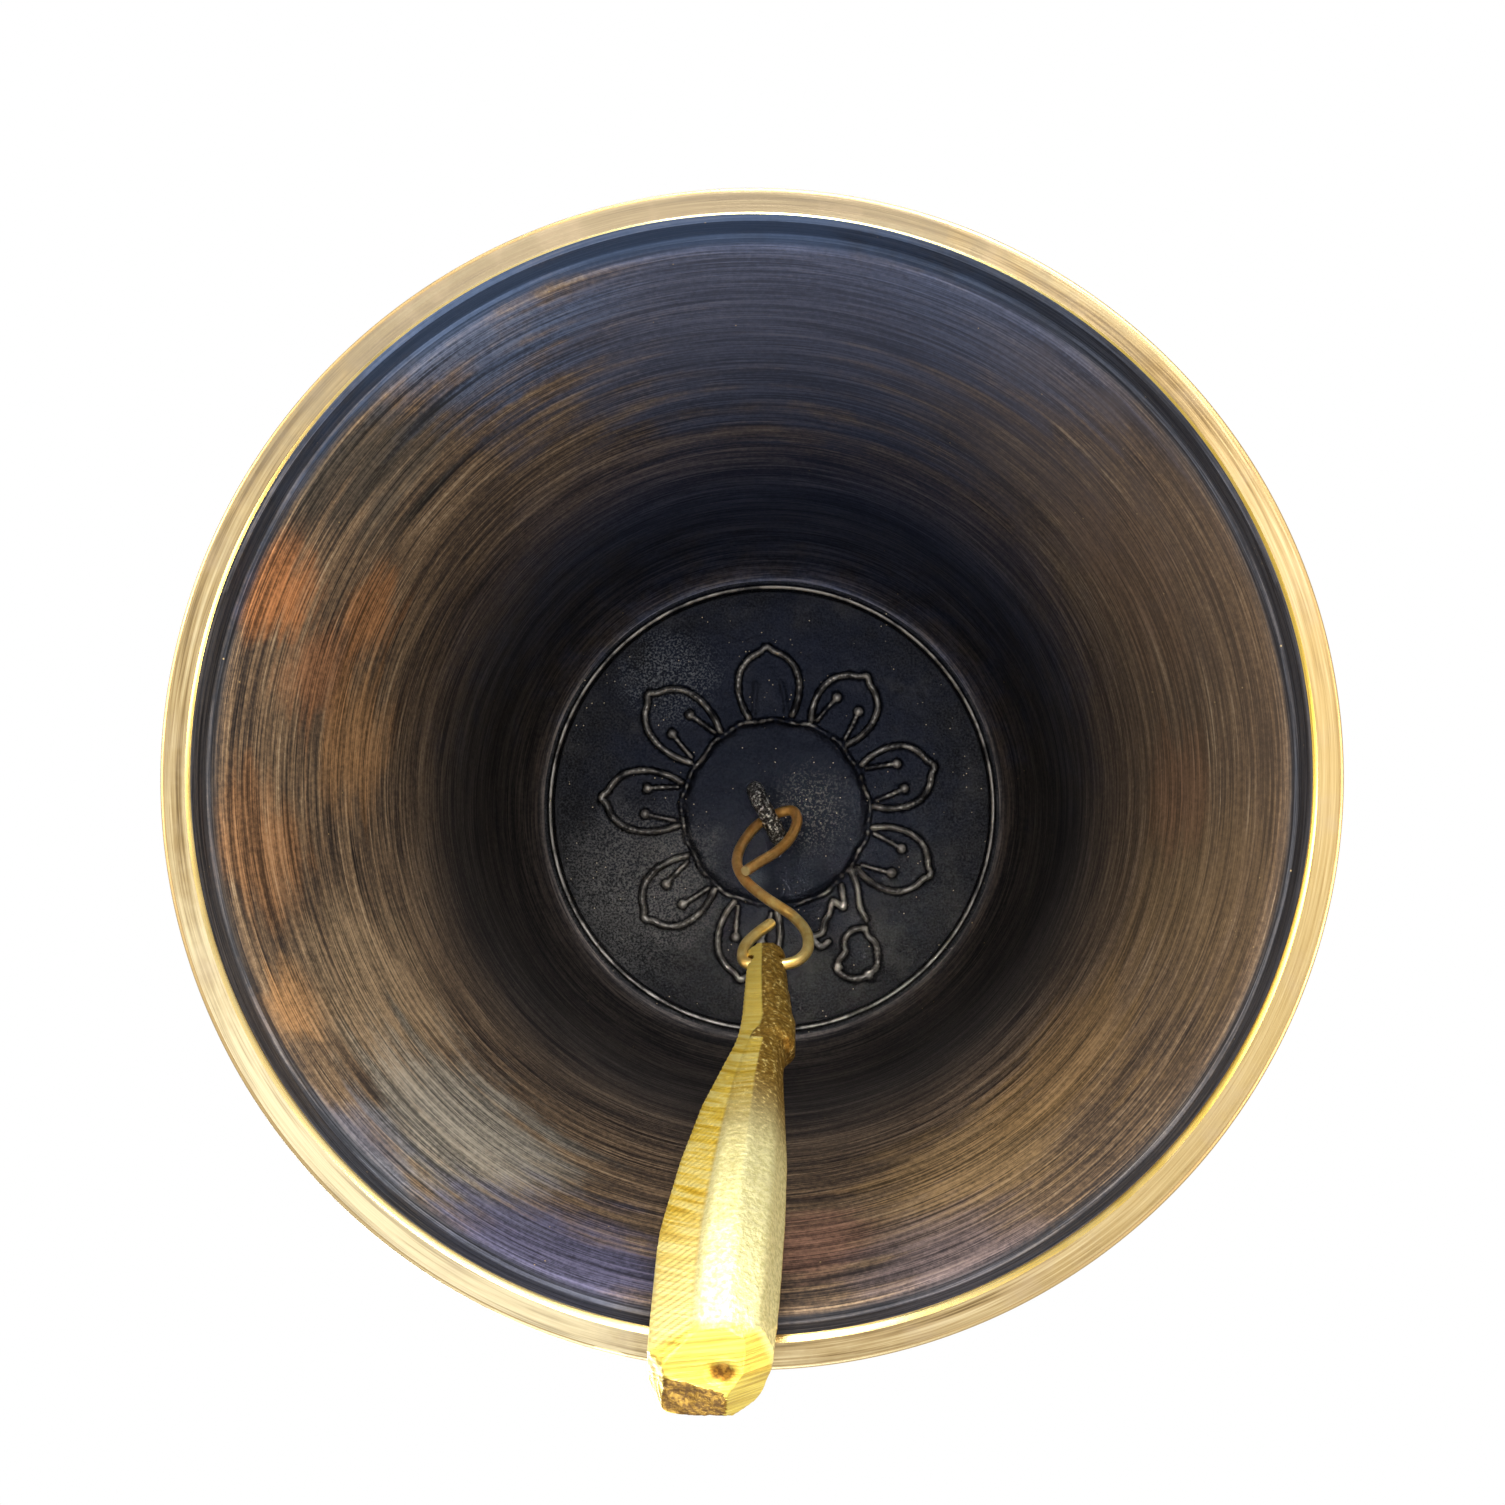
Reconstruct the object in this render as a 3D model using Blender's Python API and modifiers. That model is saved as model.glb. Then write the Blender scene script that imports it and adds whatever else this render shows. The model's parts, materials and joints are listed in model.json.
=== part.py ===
"""Hanging temple bell with its clapper, in metres with +Z up.

The bell hangs mouth down from a ring.  The origin is where a ceiling hook bears, at the top of the
inside of the ring.  The clapper hangs by a bent wire hook from a staple under the crown, and is
stored swung towards -Y, just clear of the lip.
"""

import math

import bmesh
import bpy
from mathutils import Vector

MM = 0.001
GAP = 0.3  # between pieces that touch, mm

# Hanging ring, mm: it stands in the XZ plane.
RING_RADIUS = 14.0
RING_WIRE = 2.25  # radius of its wire

# Crown loop, mm: an eye that stands in the YZ plane on a turned foot with a spigot under it.
EYE_RADIUS = 8.0
EYE_WIRE = 2.75
FOOT_RADIUS = 11.0
FOOT_HEIGHT = 4.2
SPIGOT_RADIUS = 4.0
SPIGOT_LENGTH = 4.5

# Bell shell, mm: heights are above the mouth.
MOUTH_RADIUS = 75.0
LIP_INNER_RADIUS = 71.65
THROAT_RADIUS = 70.5  # steep band just inside the lip
THROAT_DEPTH = 5.0
WAIST_RADIUS = 46.0  # inside radius that the flare runs out to
FLARE_LENGTH = 38.0  # height over which the flare falls to a third
CROWN_DEPTH = 108.75  # mouth to the underside of the crown
CROWN_DISC_RADIUS = 39.9
CROWN_TOP = 118.0  # mouth to the seat of the crown loop
SHOULDER_START = 84.0
WALL = 3.5
WAIST_BANDS = ((27.0, 30.5), (33.0, 35.0), (75.0, 77.0), (79.0, 82.5))
BAND_RISE = 0.9
SHELL_STEPS = 60

# Low relief under the crown, mm.
RELIEF_RING_RADIUS = 16.6
PETAL_COUNT = 9
PETAL_START = math.radians(5)
PETAL_ROOT = 17.4
PETAL_TIP = 30.8
PETAL_HALF_WIDTH = 5.6
PETAL_LINE = 0.6  # radius of the raised line
PETAL_SINK = 0.13  # how far its middle is sunk into the crown

# Clapper staple, mm: a U of rod whose legs are cast into the crown.
STAPLE_ROD = 1.25
STAPLE_RADIUS = 4.6
STAPLE_TURN = math.radians(26.5)  # its plane, turned from YZ about the bell's axis
STAPLE_SOCKET = 2.6  # depth of each leg in the crown

# Wire hook and clapper at rest.
CHAIN_LEAN = math.radians(31)
HOOK_WIRE = 0.9
HOOK_PIVOT = (0.1, -2.3, 99.0)  # centre of the hook's wire in the staple; z above the mouth
HOOK_LENGTH = 47.0  # between the two places where it bears
HOLE_RADIUS = 1.7

# Heights in the finished frame, mm.
BELL_PIVOT_Z = -(2 * RING_RADIUS - RING_WIRE)
EYE_CENTRE_Z = BELL_PIVOT_Z + RING_WIRE + GAP + EYE_WIRE - EYE_RADIUS
FOOT_TOP_Z = EYE_CENTRE_Z - EYE_RADIUS + 1.0
MOUTH_Z = FOOT_TOP_Z - FOOT_HEIGHT - GAP - CROWN_TOP

# The hook's bends: across, down the chain and out towards the bell's axis, mm from the hook's pivot.
HOOK_BENDS = (
    (3.3, 22.2, 2.1),
    (0.9, 18.3, 1.7),
    (-1.5, 13.8, 0.9),
    (-3.8, 8.9, 0.8),
    (-5.0, 4.2, 1.6),
    (-4.2, 0.9, 1.8),
    (-2.2, -0.2, 1.0),
    (0.0, 0.0, 0.0),
    (2.2, 1.4, -0.9),
    (4.0, 5.6, -1.3),
    (4.9, 10.8, -0.9),
    (4.8, 16.2, -0.4),
    (3.1, 22.0, 0.0),
    (-0.4, 27.4, 0.0),
    (-4.4, 32.4, 0.0),
    (-6.8, 37.4, 0.0),
    (-7.2, 42.2, 0.0),
    (-6.0, 45.5, 0.0),
    (-3.9, 47.0, 0.0),
    (-1.4, 47.3, 0.0),
    (1.6, 47.2, 0.0),
    (3.1, 46.2, 0.0),
    (3.6, 43.8, 0.0),
    (3.0, 41.0, 0.0),
    (1.1, 38.0, 0.0),
    (-1.4, 34.9, 0.0),
)

# The clapper's sections: down from its pivot, left, right, front and back, mm.  The front is the
# side towards the bell's axis.
CLAPPER_SECTIONS = (
    (-2.8, 1.4, -2.9, 2.0, -2.0),
    (-2.1, 1.9, -3.4, 2.6, -2.6),
    (1.0, 1.9, -3.4, 2.8, -2.8),
    (6.0, 1.9, -3.6, 2.9, -2.9),
    (14.0, 2.0, -4.6, 3.1, -3.1),
    (19.0, 2.2, -5.6, 3.5, -3.4),
    (22.5, 2.4, -5.3, 3.9, -3.7),
    (24.5, 2.7, -4.1, 4.2, -3.9),
    (30.0, 4.2, -4.2, 4.9, -4.5),
    (38.0, 6.2, -4.6, 5.8, -5.4),
    (50.0, 8.3, -5.0, 6.9, -6.7),
    (62.0, 9.8, -4.8, 7.5, -7.4),
    (74.0, 10.9, -4.3, 7.8, -7.7),
    (80.0, 10.9, -3.9, 7.4, -7.7),
    (85.0, 10.0, -3.2, 5.8, -7.3),
    (88.5, 7.8, -1.6, 3.4, -6.2),
    (90.2, 5.2, 0.2, 1.2, -4.6),
)
SECTION_CORNERS = 16
SECTION_SQUARENESS = 2.6


def clear_scene():
    for obj in list(bpy.data.objects):
        bpy.data.objects.remove(obj, do_unlink=True)


def new_collection(name, hidden=False):
    collection = bpy.data.collections.new(name)
    collection.hide_render = hidden
    bpy.context.scene.collection.children.link(collection)
    return collection


def metal(name, colour, roughness):
    material = bpy.data.materials.new(name)
    material.use_nodes = True
    shader = material.node_tree.nodes["Principled BSDF"]
    shader.inputs["Base Color"].default_value = (*colour, 1.0)
    shader.inputs["Metallic"].default_value = 1.0
    shader.inputs["Roughness"].default_value = roughness
    material.diffuse_color = (*colour, 1.0)
    return material


def add_object(name, mesh, collection, material=None):
    obj = bpy.data.objects.new(name, mesh)
    collection.objects.link(obj)
    if material:
        mesh.materials.append(material)
    return obj


def add_cutter(name, mesh, cutters):
    obj = add_object(name, mesh, cutters)
    obj.hide_render = True
    obj.display_type = "WIRE"
    return obj


def evaluated_mesh(obj):
    graph = bpy.context.evaluated_depsgraph_get()
    return bpy.data.meshes.new_from_object(obj.evaluated_get(graph), depsgraph=graph)


def shade(mesh, sharp_over=35):
    mesh.polygons.foreach_set("use_smooth", [True] * len(mesh.polygons))
    mesh.set_sharp_from_angle(angle=math.radians(sharp_over))


def turned_mesh(name, profile, steps):
    """The solid swept by (radius, height) points in mm, which run down its outer side."""
    mesh = bpy.data.meshes.new(name)
    points = [(radius * MM, 0.0, height * MM) for radius, height in profile]
    mesh.from_pydata(points, [(i, i + 1) for i in range(len(points) - 1)], [])
    scratch = add_object(name, mesh, bpy.context.scene.collection)
    screw = scratch.modifiers.new("turn", "SCREW")
    screw.axis = "Z"
    screw.steps = screw.render_steps = steps
    screw.use_merge_vertices = True
    screw.merge_threshold = 0.00001
    screw.use_smooth_shade = True
    solid = evaluated_mesh(scratch)
    bpy.data.objects.remove(scratch, do_unlink=True)
    return solid


def wire_mesh(name, lines, radius, closed=False, sides=2):
    """Round wire of this radius along each line of points, all in mm, as closed bodies."""
    curve = bpy.data.curves.new(name, "CURVE")
    curve.dimensions = "3D"
    curve.bevel_depth = radius * MM
    curve.bevel_resolution = sides
    curve.use_fill_caps = True
    for line in lines:
        spline = curve.splines.new("POLY")
        spline.points.add(len(line) - 1)
        for point, place in zip(spline.points, line):
            point.co = (*(Vector(place) * MM), 1.0)
        spline.use_cyclic_u = closed
    scratch = bpy.data.objects.new(name, curve)
    bpy.context.scene.collection.objects.link(scratch)
    mesh = evaluated_mesh(scratch)
    bpy.data.objects.remove(scratch, do_unlink=True)
    shape = bmesh.new()
    shape.from_mesh(mesh)
    bmesh.ops.remove_doubles(shape, verts=shape.verts, dist=1e-6)
    bmesh.ops.recalc_face_normals(shape, faces=shape.faces)
    shape.to_mesh(mesh)
    shape.free()
    return mesh


def lofted_mesh(name, rings):
    """A closed body through rings of the same number of points, in metres."""
    shape = bmesh.new()
    loops = [[shape.verts.new(point) for point in ring] for ring in rings]
    for upper, lower in zip(loops, loops[1:]):
        for i, corner in enumerate(upper):
            j = (i + 1) % len(upper)
            shape.faces.new((corner, upper[j], lower[j], lower[i]))
    shape.faces.new(loops[0])
    shape.faces.new(loops[-1])
    bmesh.ops.triangulate(shape, faces=shape.faces)
    bmesh.ops.recalc_face_normals(shape, faces=shape.faces)
    mesh = bpy.data.meshes.new(name)
    shape.to_mesh(mesh)
    shape.free()
    return mesh


def rounded(points, per_span):
    """A smooth line through the points, as Catmull-Rom spans."""
    places = [Vector(point) for point in points]
    ends = [2 * places[0] - places[1], *places, 2 * places[-1] - places[-2]]
    line = []
    for before, start, end, after in zip(ends, ends[1:], ends[2:], ends[3:]):
        for step in range(per_span):
            t = step / per_span
            line.append(
                0.5
                * (
                    2 * start
                    + (end - before) * t
                    + (2 * before - 5 * start + 4 * end - after) * t**2
                    + (3 * start - before - 3 * end + after) * t**3
                )
            )
    return line + [places[-1]]


def boolean(obj, cutter, operation):
    modifier = obj.modifiers.new(operation.lower(), "BOOLEAN")
    modifier.operation = operation
    modifier.solver = "EXACT"
    modifier.object = cutter


def settle(obj, sharp_over=35):
    """Makes the modifiers' result the object's own mesh, with smooth round faces."""
    mesh = evaluated_mesh(obj)
    obj.modifiers.clear()
    obj.data = mesh
    shade(mesh, sharp_over)




def flare(height):
    """Inside radius of the wall at this height above the mouth, below the shoulder."""
    fall = math.exp(-(height - THROAT_DEPTH) / FLARE_LENGTH)
    return WAIST_RADIUS + (THROAT_RADIUS - 0.6 - WAIST_RADIUS) * fall


def shoulder(radius, height, top, inner, count):
    """A quarter oval from the wall at this height up to the crown at this inner radius."""
    for step in range(1, count + 1):
        angle = math.radians(90) * step / count
        across = inner + (radius - inner) * math.cos(angle)
        yield across, height + (top - height) * math.sin(angle)


def plain_wall(low, high):
    """The outside of the waist between these heights, ends included."""
    count = max(1, round((high - low) / 7))
    for step in range(count + 1):
        height = low + (high - low) * step / count
        yield flare(height) + WALL, height


def shell_profile():
    """Down the outside from the crown's seat, round the lip and up the inside, mm."""
    outside = [(MOUTH_RADIUS - 0.6, 0.0), (MOUTH_RADIUS, 0.6), (MOUTH_RADIUS, 5.6)]
    outside += [(MOUTH_RADIUS - 0.7, 6.6), (72.9, 7.2), (72.6, 8.4), (72.9, 9.6), (72.0, 10.8)]
    height = 14.0
    for low, high in WAIST_BANDS:
        outside += plain_wall(height, low)
        outside += [(flare(low) + WALL + BAND_RISE, low + 0.5)]
        outside += [(flare(high) + WALL + BAND_RISE, high - 0.5)]
        height = high
    outside += plain_wall(height, SHOULDER_START - 1.0)
    outer_radius = flare(SHOULDER_START) + WALL
    outside.append((outer_radius, SHOULDER_START))
    outside += shoulder(outer_radius, SHOULDER_START, 111.6, 38.0, 7)
    outside += [(36.6, 112.6), (34.6, 112.9), (24.0, 115.4), (15.4, 116.6)]
    outside += [(14.6, 117.6), (13.4, CROWN_TOP), (0.0, CROWN_TOP)]
    inside = [(LIP_INNER_RADIUS, 0.0), (70.9, 0.8), (THROAT_RADIUS, THROAT_DEPTH)]
    inside += [(flare(5.3), 5.3)]
    inside += [(flare(height), height) for height in (8, 12, 16, 21, 27, 34, 42, 51, 60, 70, 80)]
    inside += [(flare(88), 88.0), (47.6, 94.0), (46.2, 99.0), (44.2, 103.2), (42.2, 106.0)]
    inside += [(41.1, 107.2), (40.6, 106.9), (CROWN_DISC_RADIUS, 107.6)]
    inside += [(CROWN_DISC_RADIUS - 0.6, CROWN_DEPTH), (RELIEF_RING_RADIUS + 0.8, CROWN_DEPTH)]
    inside += [(RELIEF_RING_RADIUS, CROWN_DEPTH - 0.7)]
    inside += [(RELIEF_RING_RADIUS - 0.8, CROWN_DEPTH + 0.3), (0.0, CROWN_DEPTH + 0.5)]
    return [*reversed(outside), *inside]


def petal_line(angle):
    """The raised line round one petal: a pointed arch, open at its root."""
    half = (
        (0.72, 0.0),
        (0.92, 0.18),
        (1.0, 0.42),
        (0.9, 0.64),
        (0.62, 0.83),
        (0.28, 0.93),
    )
    length = PETAL_TIP - PETAL_ROOT
    outline = [(side * PETAL_HALF_WIDTH, PETAL_ROOT + along * length) for side, along in half]
    outline.append((0.0, PETAL_TIP))
    outline += [(-across, out) for across, out in reversed(outline[:-1])]
    cos, sin = math.cos(angle), math.sin(angle)
    height = MOUTH_Z + CROWN_DEPTH + PETAL_SINK
    return [(out * cos - across * sin, out * sin + across * cos, height) for across, out in outline]


def staple_points():
    """Centre line of the staple, mm, from one leg's end round to the other's."""
    forward = Vector((-math.sin(STAPLE_TURN), -math.cos(STAPLE_TURN), 0.0))
    bearing = STAPLE_RADIUS - STAPLE_ROD - HOOK_WIRE - 0.4
    pull = forward * math.sin(CHAIN_LEAN) - Vector((0, 0, math.cos(CHAIN_LEAN)))
    centre = Vector(HOOK_PIVOT) + Vector((0, 0, MOUTH_Z)) - pull * bearing
    top = MOUTH_Z + CROWN_DEPTH + STAPLE_SOCKET
    legs = [centre + forward * (side * STAPLE_RADIUS) for side in (-1, 1)]
    bight = []
    for step in range(15):
        angle = math.pi * step / 14
        reach = -forward * math.cos(angle) - Vector((0, 0, math.sin(angle)))
        bight.append(centre + reach * STAPLE_RADIUS)
    return [(legs[0].x, legs[0].y, top), *bight, (legs[1].x, legs[1].y, top)]


def make_hanging_ring(parts, material):
    centre_z = -(RING_RADIUS - RING_WIRE)
    circle = [
        (RING_RADIUS * math.cos(turn), 0.0, centre_z + RING_RADIUS * math.sin(turn))
        for turn in (math.tau * step / 48 for step in range(48))
    ]
    mesh = wire_mesh("hanging_ring", [circle], RING_WIRE, closed=True, sides=3)
    shade(mesh)
    return add_object("hanging_ring", mesh, parts, material)


def make_crown_loop(parts, cutters, material):
    foot_base = FOOT_TOP_Z - FOOT_HEIGHT
    profile = [
        (0.0, FOOT_TOP_Z),
        (6.4, FOOT_TOP_Z),
        (8.0, FOOT_TOP_Z - 0.6),
        (8.6, FOOT_TOP_Z - 1.6),
        (9.4, FOOT_TOP_Z - 2.0),
        (FOOT_RADIUS, FOOT_TOP_Z - 2.6),
        (FOOT_RADIUS, foot_base + 0.4),
        (FOOT_RADIUS - 0.4, foot_base),
        (SPIGOT_RADIUS, foot_base),
        (SPIGOT_RADIUS, foot_base - SPIGOT_LENGTH + 0.5),
        (SPIGOT_RADIUS - 0.5, foot_base - SPIGOT_LENGTH),
        (0.0, foot_base - SPIGOT_LENGTH),
    ]
    loop = add_object("crown_loop", turned_mesh("crown_loop", profile, 48), parts, material)
    circle = [
        (0.0, EYE_RADIUS * math.cos(turn), EYE_CENTRE_Z + EYE_RADIUS * math.sin(turn))
        for turn in (math.tau * (step + 0.5) / 40 for step in range(40))
    ]
    eye = add_cutter("eye", wire_mesh("eye", [circle], EYE_WIRE, closed=True, sides=3), cutters)
    boolean(loop, eye, "UNION")
    settle(loop)
    return loop


def make_bell_shell(parts, cutters, material):
    profile = [(radius, MOUTH_Z + height) for radius, height in shell_profile()]
    mesh = turned_mesh("bell_shell", profile, SHELL_STEPS)
    shell = add_object("bell_shell", mesh, parts, material)
    socket_floor = FOOT_TOP_Z - FOOT_HEIGHT - SPIGOT_LENGTH - GAP
    socket = [
        (0.0, MOUTH_Z + CROWN_TOP + 2.0),
        (SPIGOT_RADIUS + GAP, MOUTH_Z + CROWN_TOP + 2.0),
        (SPIGOT_RADIUS + GAP, socket_floor),
        (0.0, socket_floor),
    ]
    boolean(shell, add_cutter("socket", turned_mesh("socket", socket, 32), cutters), "DIFFERENCE")
    line = staple_points()
    crown = MOUTH_Z + CROWN_DEPTH
    holes = [
        [(x, y, crown - 4.0), (x, y, crown + STAPLE_SOCKET + GAP)]
        for x, y, _ in (line[0], line[-1])
    ]
    mesh = wire_mesh("leg_sockets", holes, STAPLE_ROD + GAP)
    boolean(shell, add_cutter("leg_sockets", mesh, cutters), "DIFFERENCE")
    angles = [PETAL_START + math.tau * i / PETAL_COUNT for i in range(PETAL_COUNT)]
    mesh = wire_mesh("petals", [petal_line(angle) for angle in angles], PETAL_LINE)
    boolean(shell, add_cutter("petals", mesh, cutters), "UNION")
    settle(shell)
    return shell


def make_staple(parts, material):
    mesh = wire_mesh("clapper_staple", [staple_points()], STAPLE_ROD, sides=3)
    shade(mesh)
    return add_object("clapper_staple", mesh, parts, material)


def make_hook(parts, material):
    bends = [(across, out, -down) for across, down, out in HOOK_BENDS]
    mesh = wire_mesh("s_hook", [rounded(bends, 3)], HOOK_WIRE)
    shade(mesh, 60)
    return add_object("s_hook", mesh, parts, material)


def section_ring(down, left, right, front, back):
    """One rounded-square section of the clapper, in metres."""
    power = 2 / SECTION_SQUARENESS
    ring = []
    for corner in range(SECTION_CORNERS):
        angle = math.tau * corner / SECTION_CORNERS
        cos, sin = math.cos(angle), math.sin(angle)
        across = math.copysign(abs(cos) ** power, cos) * (left - right) / 2
        out = math.copysign(abs(sin) ** power, sin) * (front - back) / 2
        place = Vector(((left + right) / 2 + across, (front + back) / 2 + out, -down))
        ring.append(place * MM)
    return ring


def make_clapper(parts, cutters, material):
    mesh = lofted_mesh("clapper", [section_ring(*section) for section in CLAPPER_SECTIONS])
    clapper = add_object("clapper", mesh, parts, material)
    drop = HOLE_RADIUS - HOOK_WIRE - GAP + 0.1
    hole = wire_mesh("hole", [[(-9.0, 0.0, -drop), (8.0, 0.0, -drop)]], HOLE_RADIUS, sides=4)
    cutter = add_cutter("hole", hole, cutters)
    boolean(clapper, cutter, "DIFFERENCE")
    settle(clapper, 25)
    return clapper


def add_pivot(name, place, parts):
    pivot = bpy.data.objects.new(name, None)
    pivot.empty_display_size = 0.01
    pivot.location = Vector(place) * MM
    parts.objects.link(pivot)
    return pivot


def main():
    clear_scene()
    parts = new_collection("temple_bell")
    cutters = new_collection("cutters", hidden=True)
    patina = metal("patinated_bronze", (0.21, 0.12, 0.05), 0.42)
    ring = make_hanging_ring(parts, metal("ring_brass", (0.55, 0.38, 0.16), 0.35))
    loop = make_crown_loop(parts, cutters, metal("loop_brass", (0.42, 0.28, 0.11), 0.4))
    shell = make_bell_shell(parts, cutters, patina)
    staple = make_staple(parts, metal("staple_iron", (0.06, 0.06, 0.065), 0.6))
    hook = make_hook(parts, metal("hook_bronze", (0.5, 0.29, 0.1), 0.3))
    clapper = make_clapper(parts, cutters, metal("clapper_brass", (0.78, 0.62, 0.24), 0.3))

    swing = add_pivot("bell_swing", (0.0, 0.0, BELL_PIVOT_Z), parts)
    hook_place = Vector(HOOK_PIVOT) + Vector((0.0, 0.0, MOUTH_Z))
    chain = Vector((0.0, -math.sin(CHAIN_LEAN), -math.cos(CHAIN_LEAN)))
    hook.location = hook_place * MM
    clapper.location = (hook_place + chain * HOOK_LENGTH) * MM
    for piece in (hook, clapper):
        piece.rotation_euler.x = -CHAIN_LEAN
    bpy.context.view_layer.update()
    for piece, carrier in (
        (swing, ring),
        (loop, swing),
        (shell, swing),
        (staple, swing),
        (hook, swing),
        (clapper, hook),
    ):
        piece.parent = carrier
        piece.matrix_parent_inverse = carrier.matrix_world.inverted()


main()
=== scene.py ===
"""Looks of the hanging temple bell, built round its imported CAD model."""

import json
import math

import bmesh
import bpy
import numpy as np
from mathutils import Matrix, Vector, noise


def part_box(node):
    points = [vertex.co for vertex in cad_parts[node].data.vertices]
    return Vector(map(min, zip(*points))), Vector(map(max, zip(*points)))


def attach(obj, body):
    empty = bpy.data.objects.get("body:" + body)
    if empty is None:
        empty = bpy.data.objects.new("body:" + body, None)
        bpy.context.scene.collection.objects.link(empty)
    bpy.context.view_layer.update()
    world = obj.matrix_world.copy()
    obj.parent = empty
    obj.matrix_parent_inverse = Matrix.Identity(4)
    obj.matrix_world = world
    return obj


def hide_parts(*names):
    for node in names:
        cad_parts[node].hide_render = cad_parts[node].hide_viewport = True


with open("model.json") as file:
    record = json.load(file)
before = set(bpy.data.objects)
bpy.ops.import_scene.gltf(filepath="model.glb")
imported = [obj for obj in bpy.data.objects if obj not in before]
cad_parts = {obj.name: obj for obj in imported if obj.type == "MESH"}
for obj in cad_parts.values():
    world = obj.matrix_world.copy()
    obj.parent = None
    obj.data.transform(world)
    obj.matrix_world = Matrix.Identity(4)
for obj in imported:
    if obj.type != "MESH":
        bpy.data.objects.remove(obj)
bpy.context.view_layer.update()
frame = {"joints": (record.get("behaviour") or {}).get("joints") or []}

MM = 0.001
SHELL_LOW, SHELL_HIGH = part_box("bell_shell")
MOUTH_Z = SHELL_LOW.z / MM
MOUTH_RADIUS = SHELL_HIGH.x / MM
CROWN_TOP = SHELL_HIGH.z / MM - MOUTH_Z
JOINT_AT = {joint["name"]: Vector(joint["pos_m"]) for joint in frame["joints"]}

# The bell's own sizes, mm, with heights above the mouth.
WAIST_RADIUS = 46.0
FLARE_LENGTH = 38.0
THROAT_RADIUS = 70.5
THROAT_DEPTH = 5.0
LIP_INNER_RADIUS = 71.65
WALL = 3.5
SHOULDER_START = 84.0
WAIST_BANDS = ((27.0, 30.5), (33.0, 35.0), (75.0, 77.0), (79.0, 82.5))
BAND_RISE = 0.9
CROWN_DEPTH = 108.75
DISC_RADIUS = 39.3
RING_RADIUS = 16.6
SHELL_STEPS = 430

# The lotus petals under the crown, cast by hand and so not quite evenly turned, degrees.
PETAL_TIPS = {5: 31.4, 43: 31.3, 87: 29.9, 124: 29.4, 164: 29.6, 202: 29.8, 282: 30.5, 321: 30.2}
FLAWED_PETAL_ANGLE = 240
PLAIN_PETAL = 87
RELIEF_CENTRE = (-0.8, -0.9)
LINE_HALF = 0.62
# Across and out from the middle of the crown, for a petal that points outwards, mm.
PETAL_OUTLINE = (
    (3.9, 17.2), (4.8, 19.2), (5.4, 21.8), (5.4, 24.4),
    (4.7, 26.9), (3.0, 28.9), (1.2, 29.9), (0.0, 31.0),
)
PETAL_ROOT, PETAL_TIP = PETAL_OUTLINE[0][1], PETAL_OUTLINE[-1][1]
STAMEN = ((3.0, 17.8), (2.7, 20.6), (2.3, 23.2))
# Lines of the petal where the mould broke up: across and out from the middle, mm.
FLAWED_LINES = (
    ((-6.5, 15.4), (-5.9, 18.9), (-4.6, 22), (-4.4, 24.6)),
    ((-3.6, 17.2), (-2, 20.8), (-0.9, 18.8), (0.7, 20.4), (2.2, 21.2), (3.6, 22.7), (5.8, 22.2)),
    ((5.6, 22.4), (5, 24.8), (3.4, 24.6)),
    ((-3.2, 25.6), (-1.4, 25), (0.4, 25.5), (1.3, 26.6), (1.6, 27.6), (3.4, 28.4)),
    ((3.4, 28.4), (4.6, 29.6), (3.9, 31.4), (2.4, 32.7), (0.2, 33.3), (-1.9, 32.6)),
    ((-1.9, 32.6), (-2.9, 31.2), (-3.7, 29), (-3.2, 27.4), (-3.4, 25.8)),
)
FLAWED_BLOBS = ((0.2, 33.2, 1.2), (-3.3, 25.8, 0.9), (3.8, 29.6, 0.7), (-2.9, 31.2, 0.8))

# How far the hook and the clapper lean from plumb at rest, and the radius of the hook's wire.
CHAIN_LEAN = math.radians(31)
HOOK_WIRE = 0.9
# Zones of the shell's profile, in their order along it.
TOP, OUTSIDE, FACE, BEVEL, THROAT, INSIDE, RIM, DISC = range(8)


# ---- meshes


def in_scene(name, data):
    """A new object, linked into the scene."""
    obj = bpy.data.objects.new(name, data)
    bpy.context.scene.collection.objects.link(obj)
    return obj


def applied(obj, *helpers):
    """A mesh of the object with its modifiers applied.  It and its helpers are removed."""
    graph = bpy.context.evaluated_depsgraph_get()
    mesh = bpy.data.meshes.new_from_object(obj.evaluated_get(graph), depsgraph=graph)
    for spent in (obj, *helpers):
        bpy.data.objects.remove(spent, do_unlink=True)
    return mesh


def new_piece(name, mesh, body, slot, *nodes):
    """Puts a finished mesh in the scene as a piece of the bell."""
    obj = in_scene(name, mesh)
    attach(obj, body)
    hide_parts(*nodes)
    return obj


def mesh_of(name, points, faces, sharp_over=38):
    """A mesh from points in mm, smooth except at its sharp edges."""
    mesh = bpy.data.meshes.new(name)
    mesh.from_pydata((np.asarray(points) * MM).tolist(), [], faces)
    mesh.polygons.foreach_set("use_smooth", [True] * len(mesh.polygons))
    mesh.set_sharp_from_angle(angle=math.radians(sharp_over))
    mesh.validate()
    return mesh


def add_values(mesh, name, values):
    """A number at each point, for the materials to read."""
    layer = mesh.attributes.new(name, "FLOAT", "POINT")
    layer.data.foreach_set("value", np.asarray(values, np.float32))


def grid_faces(rows, columns, looped=False):
    """Quads of a grid that closes round its columns and, when looped, from last row to first."""
    faces = []
    for row in range(rows if looped else rows - 1):
        here, below = row * columns, (row + 1) % rows * columns
        for column in range(columns):
            after = (column + 1) % columns
            faces.append((here + column, here + after, below + after, below + column))
    return faces


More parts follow.
